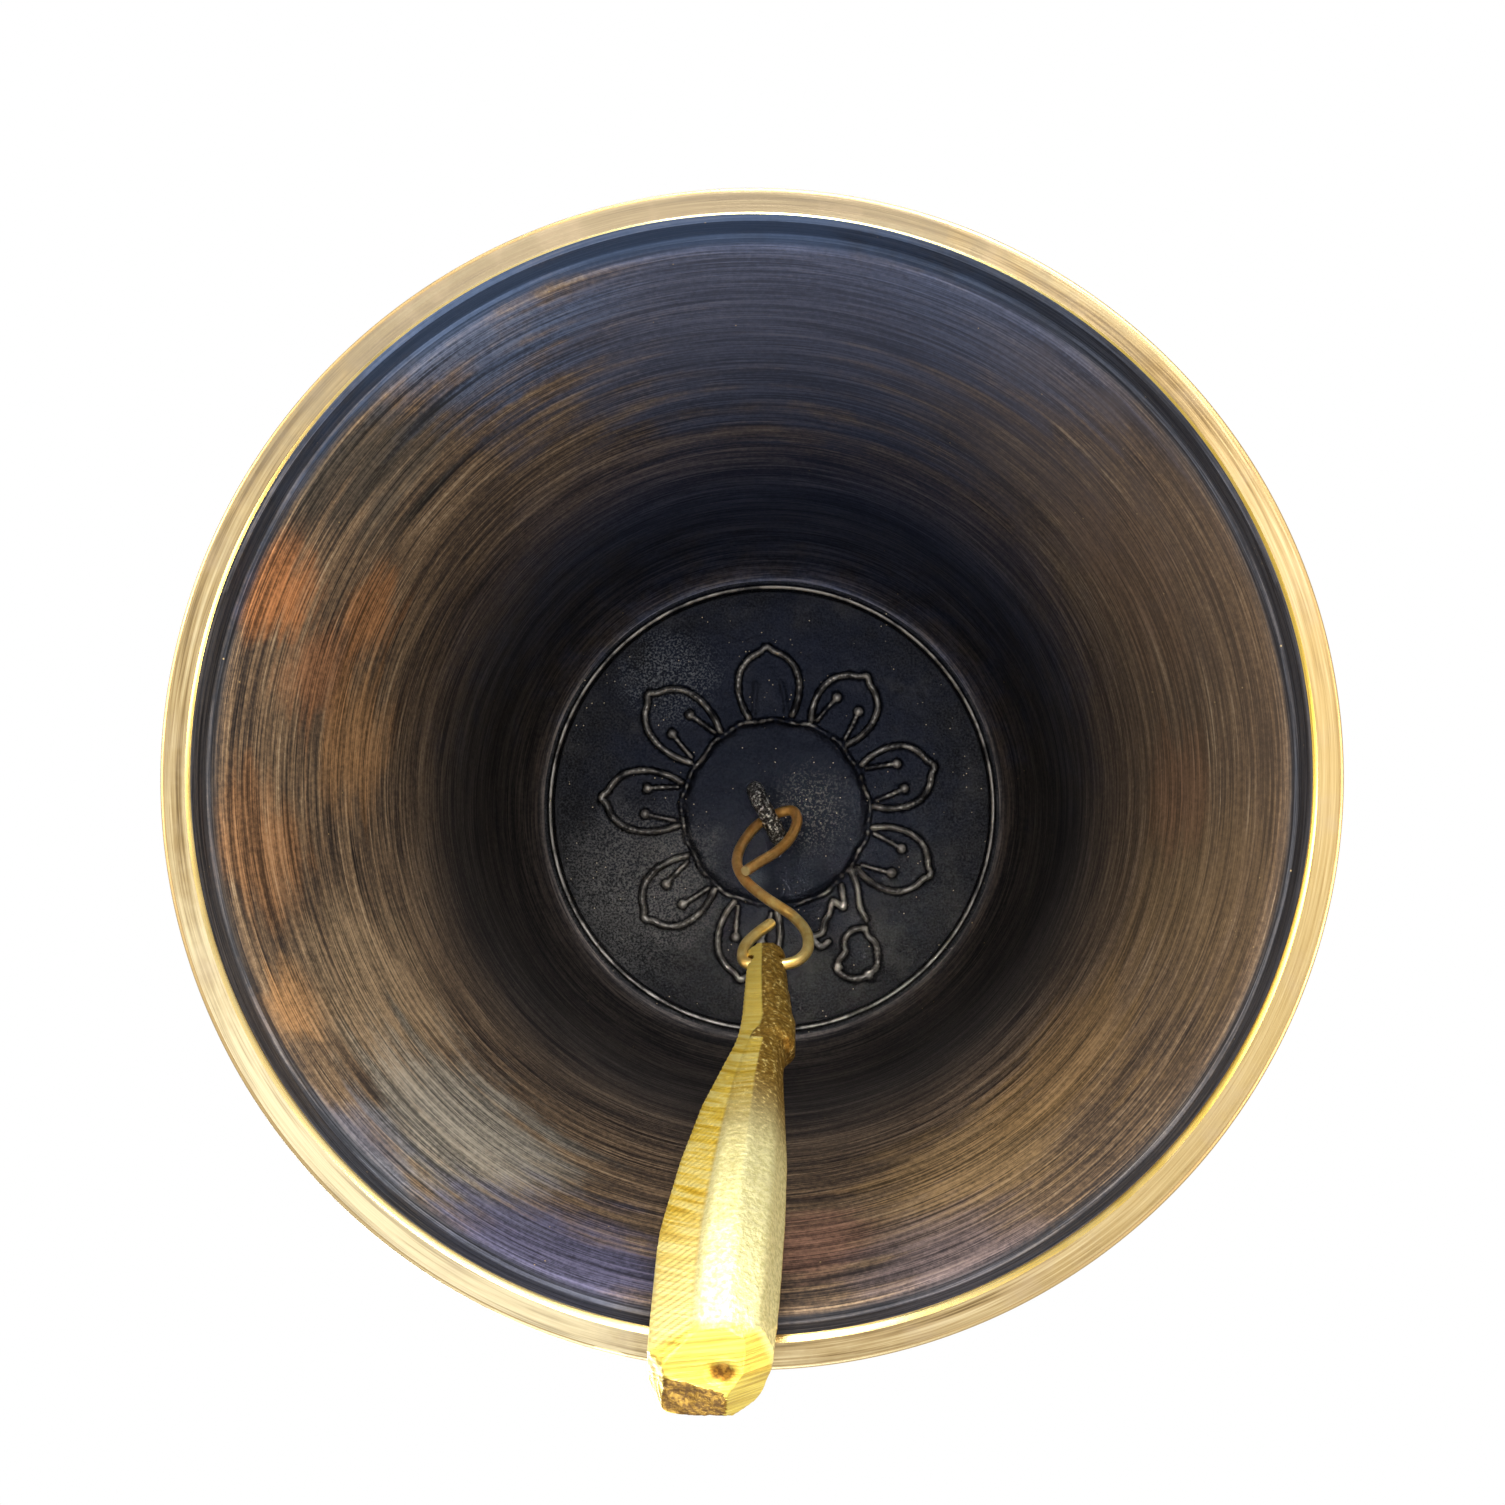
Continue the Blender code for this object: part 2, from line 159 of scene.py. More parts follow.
def capped_faces(rows, columns):
    """Faces of a grid with a fan at each end, round two points that follow the grid's own."""
    faces = grid_faces(rows, columns)
    first, last = rows * columns, rows * columns + 1
    base = (rows - 1) * columns
    for column in range(columns):
        after = (column + 1) % columns
        faces.append((first, after, column))
        faces.append((last, base + column, base + after))
    return faces


def capped_grid(rings):
    """Points and faces of a closed body through rings, with a fan at each end."""
    rings = np.asarray(rings)
    rows, columns, _ = rings.shape
    points = np.vstack([rings.reshape(-1, 3), rings[0].mean(0), rings[-1].mean(0)])
    return points, capped_faces(rows, columns)


def facing_out(mesh):
    """Turns every face of a closed mesh outwards."""
    shape = bmesh.new()
    shape.from_mesh(mesh)
    bmesh.ops.recalc_face_normals(shape, faces=shape.faces)
    shape.to_mesh(mesh)
    shape.free()
    return mesh


def circle_turns(steps):
    """Even angles round a circle."""
    return np.arange(steps) * math.tau / steps


def rough(points, scale, seed):
    """Noise from -1 to 1 at points in mm, with features of about this size."""
    shift = Vector((seed * 17.3, seed * 5.1, seed * 9.7))
    return np.array([noise.noise(Vector(point) / scale + shift) for point in points])


def rounded(points, per_span):
    """A smooth line through the points, as Catmull-Rom spans."""
    places = [np.array(point, float) for point in points]
    ends = [2 * places[0] - places[1], *places, 2 * places[-1] - places[-2]]
    line = []
    for before, start, end, after in zip(ends, ends[1:], ends[2:], ends[3:]):
        for step in range(per_span):
            t = step / per_span
            square = (2 * before - 5 * start + 4 * end - after) * t**2
            cube = (3 * start - before - 3 * end + after) * t**3
            line.append(0.5 * (2 * start + (end - before) * t + square + cube))
    return np.array([*line, places[-1]])


def tube_rings(path, radii, sides, closed=False):
    """Round rings carried along a path without turning, mm."""
    path = np.asarray(path, float)
    if closed:
        ahead = np.roll(path, -1, 0) - np.roll(path, 1, 0)
    else:
        ahead = np.gradient(path, axis=0)
    ahead /= np.linalg.norm(ahead, axis=1)[:, None]
    side = np.cross(ahead[0], (0.31, 0.52, 0.79))
    turns = circle_turns(sides)
    rings = []
    for place, way, radius in zip(path, ahead, radii):
        side = side - way * side.dot(way)
        side /= np.linalg.norm(side)
        up = np.cross(way, side)
        ring = np.outer(np.cos(turns), side) + np.outer(np.sin(turns), up)
        rings.append(place + ring * np.asarray(radius).reshape(-1, 1))
    return np.array(rings)


def segment_distance(points, line):
    """Distance from each 2-D point to a line of points, and how far along it is, mm."""
    best = np.full(len(points), 1e9)
    along = np.zeros(len(points))
    passed = 0.0
    for start, end in zip(line, line[1:]):
        start, end = np.asarray(start, float), np.asarray(end, float)
        span = end - start
        length = float(np.hypot(*span)) or 1e-9
        near = np.clip((points - start) @ span / length**2, 0.0, 1.0)
        gap = np.hypot(*(points - start - near[:, None] * span).T)
        closer = gap < best
        best[closer] = gap[closer]
        along[closer] = passed + near[closer] * length
        passed += length
    return best, along


# ---- bell


def flare(height):
    """Inside radius of the wall at this height above the mouth, below the shoulder."""
    fall = math.exp(-(height - THROAT_DEPTH) / FLARE_LENGTH)
    return WAIST_RADIUS + (THROAT_RADIUS - 0.6 - WAIST_RADIUS) * fall


def waist_outside():
    """Up the outside of the waist, with its turned bands."""
    marks = [(12.6, 0.0), (15.0, 0.0)]
    height = 15.0
    for low, high in WAIST_BANDS:
        steps = max(1, round((low - height) / 3.2))
        marks += [(height + (low - height) * i / steps, 0.0) for i in range(1, steps)]
        marks += [(low - 0.25, 0.0), (low, -0.18), (low + 0.25, 0.3)]
        marks += [(low + 0.5, BAND_RISE - 0.12)]
        if high - low > 3:
            middle = (low + high) / 2
            marks += [(low + 0.95, BAND_RISE), (middle - 0.35, BAND_RISE)]
            marks += [(middle, BAND_RISE - 0.4), (middle + 0.35, BAND_RISE)]
            marks += [(high - 0.95, BAND_RISE)]
        else:
            marks += [((low + high) / 2, BAND_RISE)]
        marks += [(high - 0.5, BAND_RISE - 0.12), (high - 0.25, 0.3), (high, -0.18)]
        marks += [(high + 0.25, 0.0)]
        height = high + 0.25
    return [(flare(high) + WALL + rise, high) for high, rise in marks]


def shell_profile():
    """(radius, height, zone) from the socket on top, down the outside and up the inside."""
    top = [(0.0, 113.5), (4.3, 113.5), (4.3, CROWN_TOP), (9.0, CROWN_TOP), (13.2, CROWN_TOP)]
    top += [(13.9, 117.85), (14.6, 117.5), (15.0, 117.0), (15.5, 116.6), (18.0, 116.25)]
    top += [(18.4, 115.95), (18.8, 116.1), (21.5, 115.7), (24.0, 115.25), (29.0, 114.2)]
    top += [(33.4, 113.2), (34.2, 112.7), (34.8, 112.45), (35.4, 112.75), (36.4, 112.6)]
    top += [(37.2, 112.2), (38.0, 111.6)]
    outer = flare(SHOULDER_START) + WALL
    shoulder = []
    for step in range(1, 13):
        angle = math.radians(90) * (1 - step / 13)
        across = 38.0 + (outer - 38.0) * math.cos(angle)
        shoulder.append((across, SHOULDER_START + (111.6 - SHOULDER_START) * math.sin(angle)))
    lip = [(71.2, 11.6), (72.0, 10.7), (72.7, 10.0), (72.9, 9.6), (72.9, 9.1), (72.6, 8.4)]
    lip += [(72.75, 7.7), (72.9, 7.2), (73.6, 6.95), (74.3, 6.5), (74.85, 6.0), (75.0, 5.5)]
    lip += [(75.0, 4.7), (74.8, 4.45), (74.8, 4.2), (75.0, 3.95), (75.0, 1.9), (74.8, 1.7)]
    lip += [(74.8, 1.45), (75.0, 1.2), (75.0, 0.5), (74.9, 0.2), (74.7, 0.05), (74.4, 0.0)]
    outside = [*shoulder, (outer, SHOULDER_START), *reversed(waist_outside()), *lip]
    face = [(73.7, 0.0), (73.2, 0.03), (72.6, 0.0), (72.1, 0.02), (LIP_INNER_RADIUS, 0.0)]
    bevel = [(71.4, 0.22), (71.15, 0.5), (70.9, 0.8)]
    throat = [(70.72, 1.1), (70.6, 2.4), (THROAT_RADIUS, 4.0), (THROAT_RADIUS, 4.85)]
    throat += [(70.38, 5.0), (69.95, 5.22), (69.85, 5.5)]
    heights = [6.3, 7.6, 9.4, 11.5, 14, 17, 20.5, 24.5, 29, 34, 39.5, 45.5, 52, 59, 66.5, 74, 81, 88]
    wall = [(flare(height), height) for height in heights]
    wall += [(48.3, 91.0), (47.6, 94.0), (46.9, 96.7), (46.2, 99.0), (45.3, 101.2)]
    wall += [(44.2, 103.2), (43.0, 104.9), (41.6, 106.2), (40.5, 106.8)]
    rim = [(40.0, 106.85), (39.75, 106.7), (39.5, 106.5), (39.25, 106.55), (39.0, 106.85)]
    rim += [(38.85, 107.4), (38.7, 108.1), (DISC_RADIUS, 108.7)]
    disc = [(radius, CROWN_DEPTH) for radius in np.arange(38.6, 34.2, -0.7)]
    disc += [(radius, CROWN_DEPTH) for radius in np.arange(34.0, 14.6, -0.31)]
    disc += [(radius, CROWN_DEPTH) for radius in (14.2, 13.2, 12, 10.6, 9, 7.4, 5.8, 4.2, 2.8, 1.4)]
    profile = []
    for zone, part in enumerate((top, outside, face, bevel, throat, wall, rim, disc)):
        profile += [(radius, height, zone) for radius, height in part]
    return [*profile, (0.0, CROWN_DEPTH, DISC)]


def petal_lines():
    """Every raised line under the crown as (line, half width, height), in mm, and its knobs."""
    lines, knobs = [], []
    for angle in (*PETAL_TIPS, FLAWED_PETAL_ANGLE):
        turn = math.radians(angle)
        out = np.array((math.cos(turn), math.sin(turn)))
        across = np.array((-out[1], out[0]))

        def placed(line):
            return [across * u + out * v for u, v in line]

        if angle == FLAWED_PETAL_ANGLE:
            lines += [(placed(rounded(line, 4)), LINE_HALF, 1.0) for line in FLAWED_LINES]
            knobs += [(placed([(u, v)])[0], size, 0.9) for u, v, size in FLAWED_BLOBS]
            continue
        stretch = (PETAL_TIPS[angle] - PETAL_ROOT) / (PETAL_TIP - PETAL_ROOT)
        right = [(u, PETAL_ROOT + (v - PETAL_ROOT) * stretch) for u, v in PETAL_OUTLINE]
        outline = [*right, *[(-u, v) for u, v in reversed(right[:-1])]]
        lines.append((placed(rounded(outline, 4)), LINE_HALF, 1.05))
        faint = 0.35 if angle == PLAIN_PETAL else 1.0
        for side in (-1, 1):
            stamen = [(side * u, v) for u, v in STAMEN]
            lines.append((placed(rounded(stamen, 3)), 0.48, 0.75 * faint))
            if angle != PLAIN_PETAL:
                knobs.append((placed(stamen[-1:])[0], 1.05, 1.15))
    return lines, knobs


def crown_relief(points):
    """The raised lines at 2-D points, and how far the surface stands towards the mouth, mm."""
    points = points - np.array(RELIEF_CENTRE)
    flat = np.column_stack([points, np.zeros(len(points))])
    uneven = rough(flat, 3.1, 1) * 0.5 + rough(flat, 1.1, 2) * 0.5
    height = np.zeros(len(points))
    lines, knobs = petal_lines()
    for number, (line, half, rise) in enumerate(lines):
        gap, along = segment_distance(points, line)
        wobble = 1 + 0.12 * np.sin(along * 1.1 + number * 2.1) + 0.3 * uneven
        ridge = np.clip(1 - (gap / (half * 1.15)) ** 2, 0, 1)
        height = np.maximum(height, rise * np.clip(wobble, 0.55, 1.35) * ridge)
    for place, size, rise in knobs:
        gap = np.hypot(*(points - place).T)
        height = np.maximum(height, rise * np.clip(1 - (gap / size) ** 2, 0, 1) ** 0.8)
    away = np.hypot(*points.T)
    turn = np.arctan2(points[:, 1], points[:, 0])
    beads = 0.72 + 0.14 * np.sin(turn * 61 + 3 * np.sin(turn * 5)) + 0.9 * uneven
    swerve = RING_RADIUS + 0.22 * np.sin(turn * 6 + 1) + 0.15 * np.sin(turn * 17)
    ring = np.clip(1 - ((away - swerve) / LINE_HALF) ** 2, 0, 1)
    height = np.maximum(height, 0.75 * ring * np.clip(beads, 0.2, 1.3))
    sunk = np.clip((RING_RADIUS - 0.3 - away) / 1.2, 0, 1)
    casting = 0.22 * rough(flat, 7.0, 3) + 0.09 * rough(flat, 1.7, 4) + 0.05 * rough(flat, 0.7, 5)
    return height, height - 0.5 * sunk + casting * np.clip((DISC_RADIUS - away) / 2.0, 0, 1)


def worn_edge(radius, height, zone, turns):
    """The lip's inner edge, rubbed wider where the clapper lies than on the far side."""
    wear = 0.66 - 0.44 * np.sin(turns)
    edge = zone == BEVEL
    radius = np.where(edge, LIP_INNER_RADIUS - (LIP_INNER_RADIUS - radius) * wear, radius)
    height = np.where(edge, height * wear, height)
    hollow = (zone == THROAT) & (height < 1.5)
    height = np.where(hollow, height * wear + 0.35, height)
    return np.where(hollow, np.minimum(radius, 71.5 - 0.9 * wear), radius), height


def bell_shell_mesh():
    """The whole casting, turned from its profile, with the relief under its crown."""
    profile = shell_profile()
    radii, heights, zones = (np.array(column) for column in zip(*profile))
    turns = circle_turns(SHELL_STEPS)
    grid_radius = np.repeat(radii[1:-1, None], SHELL_STEPS, 1)
    grid_height = np.repeat(heights[1:-1, None], SHELL_STEPS, 1)
    grid_zone = np.repeat(zones[1:-1, None], SHELL_STEPS, 1)
    grid_radius, grid_height = worn_edge(grid_radius, grid_height, grid_zone, turns)
    points = np.stack(
        [grid_radius * np.cos(turns), grid_radius * np.sin(turns), grid_height], axis=-1
    ).reshape(-1, 3)
    zone = grid_zone.reshape(-1)
    relief = np.zeros(len(points))
    disc = zone == DISC
    lines, drop = crown_relief(points[disc][:, :2])
    relief[disc] = lines
    points[disc, 2] -= drop
    rim = zone == RIM
    relief[rim] = np.clip(1 - np.abs(grid_radius.reshape(-1)[rim] - 39.35) / 0.6, 0, 1)
    points[rim, 2] += 0.12 * rough(points[rim], 5.0, 8)
    ends = [(0.0, 0.0, heights[0]), (0.0, 0.0, CROWN_DEPTH + 0.4)]
    points = np.vstack([points, ends])
    relief = np.append(relief, (0.0, 0.0))
    zone = np.append(zone, (TOP, DISC))
    points[:, 2] += MOUTH_Z
    faces = capped_faces(len(profile) - 2, SHELL_STEPS)
    mesh = mesh_of("bell_shell_visual", points, faces, 42)
    add_values(mesh, "relief", relief)
    zone_of_face = [max(zone[corner] for corner in face) for face in faces]
    # Outside, lip, turned inside and crown have their own materials.
    material_of = {TOP: 0, OUTSIDE: 0, FACE: 1, BEVEL: 2, THROAT: 3, INSIDE: 3, RIM: 4, DISC: 4}
    numbers = [material_of[int(z)] for z in zone_of_face]
    mesh.polygons.foreach_set("material_index", numbers)
    return facing_out(mesh)


# ---- staple and hook


STAPLE_TURN = 26.5


def staple_mesh():
    """The iron staple: rough and hammered, its legs running up into the crown."""
    turn = math.radians(STAPLE_TURN)
    forward = np.array((-math.sin(turn), -math.cos(turn), 0.0))
    reach, rod, slack, sides = 4.5, 1.36, 0.4, 22
    pivot = np.array(JOINT_AT["hook_swing"]) / MM
    pull = forward * math.sin(CHAIN_LEAN) - np.array((0, 0, math.cos(CHAIN_LEAN)))
    centre = pivot - pull * (reach - rod - HOOK_WIRE - slack)
    top = MOUTH_Z + CROWN_DEPTH + 0.3
    line = []
    for step in range(4):
        line.append((*(centre + forward * -reach)[:2], top + (centre[2] - top) * step / 4))
    for step in range(17):
        angle = math.pi * step / 16
        line.append(centre + (-forward * math.cos(angle) - np.array((0, 0, math.sin(angle)))) * reach)
    for step in range(1, 5):
        line.append((*(centre + forward * reach)[:2], centre[2] + (top - centre[2]) * step / 4))
    path = rounded([tuple(point) for point in line], 4)
    path = path + np.column_stack(
        [rough(path, 2.3, 11) * 0.16, rough(path, 2.3, 12) * 0.16, np.zeros(len(path))]
    )
    rings = tube_rings(path, [rod] * len(path), sides)
    flat = rings.reshape(-1, 3)
    swell = 1 + 0.13 * rough(flat, 1.5, 13) + 0.10 * rough(flat, 0.6, 14) + 0.04 * rough(flat, 0.3, 15)
    middles = np.repeat(path, sides, 0)
    flat = middles + (flat - middles) * np.clip(1.1 * swell, 0.75, 1.32)[:, None]
    points, faces = capped_grid(flat.reshape(rings.shape))
    return facing_out(mesh_of("clapper_staple_visual", points, faces, 60))


# Bends of the wire, from the cut end of the upper eye to that of the lower: across, down, out, mm.
HOOK_BENDS = (
    (3.3, 22.2, 2.1), (0.9, 18.3, 1.7), (-1.5, 13.8, 0.9), (-3.8, 8.9, 0.8), (-5.0, 4.2, 1.6),
    (-4.2, 0.9, 1.8), (-2.2, -0.2, 1.0), (0.0, 0.0, 0.0), (2.2, 1.4, -0.9), (4.0, 5.6, -1.3),
    (4.9, 10.8, -0.9), (4.8, 16.2, -0.4), (3.1, 22.0, 0.0), (-0.4, 27.4, 0.0), (-4.4, 32.4, 0.0),
    (-6.8, 37.4, 0.0), (-7.2, 42.2, 0.0), (-6.0, 45.5, 0.0), (-3.9, 47.0, 0.0), (-1.4, 47.3, 0.0),
    (1.3, 47.2, 0.0), (2.6, 46.2, 0.0), (2.9, 43.9, 0.0), (2.4, 41.1, 0.0), (0.8, 38.0, 0.0),
    (-1.4, 34.9, 0.0),
)


def leaned(points, joint):
    """Points from the swung frame at a joint (across, out, up) into the row frame, mm."""
    lean = Matrix.Rotation(-CHAIN_LEAN, 3, "X")
    return np.asarray(points) @ np.array(lean).T + np.array(JOINT_AT[joint]) / MM


def hook_mesh():
    """The wire, with how far down it is rubbed and where it was cut."""
    sides = 20
    path = rounded([(across, out, -down) for across, down, out in HOOK_BENDS], 7)
    radii = HOOK_WIRE * (1 + 0.025 * rough(path, 6.0, 21) + 0.012 * rough(path, 1.6, 22))
    radii[[0, -1]] *= 0.88
    rings = tube_rings(leaned(path, "hook_swing"), radii, sides)
    points, faces = capped_grid(rings)
    mesh = mesh_of("s_hook_visual", points, faces, 50)
    share = np.repeat(np.linspace(0, 1, len(path)), sides)
    down = np.repeat(-path[:, 2], sides)
    add_values(mesh, "wear", np.append(np.clip((down - 18) / 26, 0, 1), (0.9, 1.0)))
    add_values(mesh, "cut", np.append(((share < 0.004) | (share > 0.996)) * 1.0, (1.0, 1.0)))
    return facing_out(mesh)


# ---- clapper

# Down from the pivot, left, right, front and back, mm.  The front looks towards the bell's axis.
CLAPPER_SECTIONS = (
    (-2.8, 2.1, -3.6, 2.6, -2.4), (-2.1, 2.2, -3.8, 2.8, -2.6), (1.0, 2.2, -3.9, 2.9, -2.8),
    (6.0, 2.3, -4.3, 3.0, -2.9), (14.0, 2.4, -5.2, 3.2, -3.1), (19.0, 2.7, -6.3, 3.6, -3.4),
    (22.0, 3.1, -6.2, 4.1, -3.7), (24.0, 3.5, -4.3, 4.4, -3.9), (30.0, 5.2, -4.1, 5.1, -4.5),
    (38.0, 7.3, -4.5, 6.1, -5.4), (50.0, 9.5, -5.1, 7.2, -6.7), (62.0, 11.0, -5.1, 7.8, -7.4),
    (70.0, 11.8, -4.9, 7.8, -7.6), (76.0, 12.0, -4.7, 7.3, -7.7), (81.0, 12.0, -4.4, 6.5, -7.7),
    (85.0, 11.8, -4.2, 5.6, -7.3), (88.0, 11.4, -4.1, 4.6, -6.6), (89.8, 10.8, -3.9, 3.8, -5.8),
)
# Corners of a section as shares of its width and depth, for the tang and for the body.
TANG_CORNERS = (
    (0.86, 0.10), (1.00, 0.36), (0.97, 0.66), (0.58, 1.00), (0.38, 0.94),
    (0.10, 0.74), (0.00, 0.46), (0.08, 0.14), (0.45, 0.00),
)
BODY_CORNERS = (
    (0.83, 0.10), (1.00, 0.38), (0.97, 0.60), (0.58, 0.98), (0.34, 1.00),
    (0.10, 0.88), (0.00, 0.54), (0.12, 0.13), (0.47, 0.00),
)
EDGE_STEPS = 9
RING_STEP = 0.26
CLAPPER_TOP, CLAPPER_END = CLAPPER_SECTIONS[0][0], CLAPPER_SECTIONS[-1][0]
SMOOTHED_RINGS = 11
# How far down the tang's corners start to turn into the body's, and over what length.
NECK_START, NECK_LENGTH = 19.0, 12.0
# The hole through the tang: its radius, how far its middle is under the pivot, and its sides.
HOLE_RADIUS = 1.7
HOLE_DROP = 0.6
HOLE_SIDES = 32
# Planes filed across the fat end: a point on each, the way it faces and how bright it was left.
END_CUTS = (
    ((3.6, 5.0, -86.2), (0.02, 0.50, -0.86), 1.0),
    ((-2.4, 2.0, -85.6), (-0.78, 0.25, -0.57), 0.95),
    ((1.8, -4.5, -89.6), (0.16, -0.05, -0.985), 0.05),
    ((10.9, -2.0, -85.0), (0.86, 0.05, -0.50), 0.5),
    ((1.8, -4.5, -89.7), (-0.66, -0.16, -0.73), 0.85),
    ((3.6, -5.5, -88.8), (0.0, -0.80, -0.60), 0.3),
)
DENT_AT, DENT_SIZE, DENT_DEPTH = (1.9, 1.0, -88.6), 2.2, 1.1


def drilled(mesh):
    """The clapper's mesh with the hole through its tang that the hook's wire passes through."""
    turns = circle_turns(HOLE_SIDES)
    deep = HOLE_RADIUS * np.cos(turns)
    up = HOLE_RADIUS * np.sin(turns) - HOLE_DROP
    rings = [
        leaned(np.column_stack([np.full(HOLE_SIDES, across), deep, up]), "clapper_swing")
        for across in (-12.0, 12.0)
    ]
    points, faces = capped_grid(np.array(rings))
    drill = in_scene("drill", facing_out(mesh_of("drill", points, faces)))
    body = in_scene("undrilled", mesh)
    cut = body.modifiers.new("hole", "BOOLEAN")
    cut.operation = "DIFFERENCE"
    cut.solver = "EXACT"
    cut.object = drill
    return applied(body, drill)


def clapper_rings():
    """Rings down the clapper, EDGE_STEPS points to each facet, then smaller ones across its end."""
    sections = np.array(CLAPPER_SECTIONS)
    downs = np.concatenate([np.arange(CLAPPER_TOP, CLAPPER_END - 0.2, RING_STEP), [CLAPPER_END]])
    sizes = [np.interp(downs, sections[:, 0], sections[:, i]) for i in range(1, 5)]
    kernel = np.hanning(SMOOTHED_RINGS + 2)[1:-1]
    kernel /= kernel.sum()
    for number in range(4):
        padded = np.pad(sizes[number], SMOOTHED_RINGS // 2, mode="reflect", reflect_type="odd")
        sizes[number] = np.convolve(padded, kernel, "valid")
    left, right, front, back = sizes
    tang, body = np.array(TANG_CORNERS), np.array(BODY_CORNERS)
    rings = []
    for index, down in enumerate(downs):
        share = min(max((down - NECK_START) / NECK_LENGTH, 0.0), 1.0)
        corners = tang + (body - tang) * share
        ring = []
        for here, there in zip(corners, np.roll(corners, -1, 0)):
            ring += [here + (there - here) * step / EDGE_STEPS for step in range(EDGE_STEPS)]
        ring = np.array(ring)
        for _ in range(2):
            ring = 0.25 * np.roll(ring, 1, 0) + 0.5 * ring + 0.25 * np.roll(ring, -1, 0)
        across = right[index] + (left[index] - right[index]) * ring[:, 0]
        depth = back[index] + (front[index] - back[index]) * ring[:, 1]
        rings.append(np.column_stack([across, depth, np.full(len(ring), -down)]))
    last, centre = rings[-1], rings[-1].mean(axis=0)
    rings += [centre + (last - centre) * share for share in np.linspace(0.94, 0.05, 15)]
    return np.array(rings)


def surfaced(points, outward, down, filed):
    """Points with the strokes of the file, and with the casting's roughness where it is unfiled."""
    across_file = down - 1.66 * points[:, 1] + 0.3 * points[:, 0]
    strokes = np.sin(across_file * 5.2 + 1.8 * rough(points, 3.0, 31))
    cast = rough(points, 1.5, 32) * 0.6 + rough(points, 0.7, 33) * 0.4
    points = points + outward * (filed * strokes * 0.05)[:, None]
    rough_share = (1 - filed) * np.where(down < 30, 1.0, 0.45)
    return points + outward * (rough_share * cast * np.where(down < 30, 0.24, 0.15))[:, None]


def cut_end(points):
    """Points filed back to the planes of END_CUTS, how bright each was left, and how dark."""
    ragged = np.abs(rough(points, 2.6, 34))
    ends = np.zeros(len(points))
    skin = np.zeros(len(points))
    for place, way, brightness in END_CUTS:
        way = np.array(way) / np.linalg.norm(way)
        over = (points - np.array(place)) @ way
        cut = over > 0
        points[cut] -= (over + (1.0 - brightness) * 0.32 * ragged)[cut, None] * way
        ends[cut] = brightness
        skin[cut] = 1.0 - brightness
    return points, ends, skin


def clapper_mesh():
    """The clapper: filed and cast surfaces, the cuts and the dent in its end, and its hole."""
    rings = clapper_rings()
    rows, columns, _ = rings.shape
    points = rings.reshape(-1, 3)
    facet = np.tile(np.arange(columns) // EDGE_STEPS, rows)
    down = -points[:, 2]
    outward = points - np.repeat(rings.mean(axis=1), columns, axis=0)
    outward /= np.maximum(np.linalg.norm(outward, axis=1), 1e-6)[:, None]
    filed = np.isin(facet, (1, 2)) * 1.0
    filed = np.where((facet == 3) & (down > 26), np.clip(0.8 - (down - 30) / 26, 0.1, 0.7), filed)
    points, ends, skin = cut_end(surfaced(points, outward, down, filed))
    gap = np.linalg.norm((points - np.array(DENT_AT)) * (1.0, 1.3, 1.3), axis=1)
    dent = np.clip(1 - (gap / DENT_SIZE) ** 2, 0, 1)
    inward = np.array((-0.1, -0.62, 0.78))
    points = points + inward * (dent * DENT_DEPTH)[:, None]
    # Cast skin left on the end shows dark only towards the back: partly the skin's own brown and partly
    # painted shade.
    dark = skin * np.clip((2.5 - points[:, 1]) / 2.5, 0, 1)
    low, high = (np.array(corner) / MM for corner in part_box("clapper"))
    points = np.clip(leaned(points, "clapper_swing"), low + 0.05, high - 0.05)
    points, faces = capped_grid(points.reshape(rings.shape))
    mesh = mesh_of("clapper_visual", points, faces, 36)
    add_values(mesh, "filed", np.append(np.maximum(filed, ends), (0.6, 0.5)))
    add_values(mesh, "dark", np.append(np.maximum(dark, dent), (0.0, 1.0)))
    add_values(mesh, "down", np.append(down / 90.0, (-0.03, 1.0)))
    add_values(mesh, "front", np.append(np.isin(facet, (3, 4, 5)) * 1.0, (0.0, 0.0)))
    return drilled(facing_out(mesh))


# ---- crown loop and ring


def blended(name, bodies, voxel):
    """Joins closed bodies, each as points and faces, into one cast body with soft inner corners."""
    scratch = bpy.data.meshes.new(name)
    shape = bmesh.new()
    for points, faces in bodies:
        corners = [shape.verts.new(Vector(point) * MM) for point in points]
        for face in faces:
            shape.faces.new([corners[i] for i in face])
    bmesh.ops.recalc_face_normals(shape, faces=shape.faces)
    shape.to_mesh(scratch)
    shape.free()
    obj = in_scene(name, scratch)
    remesh = obj.modifiers.new("blend", "REMESH")
    remesh.mode = "VOXEL"
    remesh.voxel_size = voxel * MM
    smooth = obj.modifiers.new("soften", "SMOOTH")
    smooth.factor = 0.5
    smooth.iterations = 3
    mesh = applied(obj)
    mesh.polygons.foreach_set("use_smooth", [True] * len(mesh.polygons))
    return mesh


def turned_body(profile, steps):
    """Points and faces of a body turned from (radius, height) points, closed at both ends."""
    turns = circle_turns(steps)
    rings = [
        np.column_stack([radius * np.cos(turns), radius * np.sin(turns), np.full(steps, height)])
        for radius, height in profile
    ]
    return capped_grid(rings)


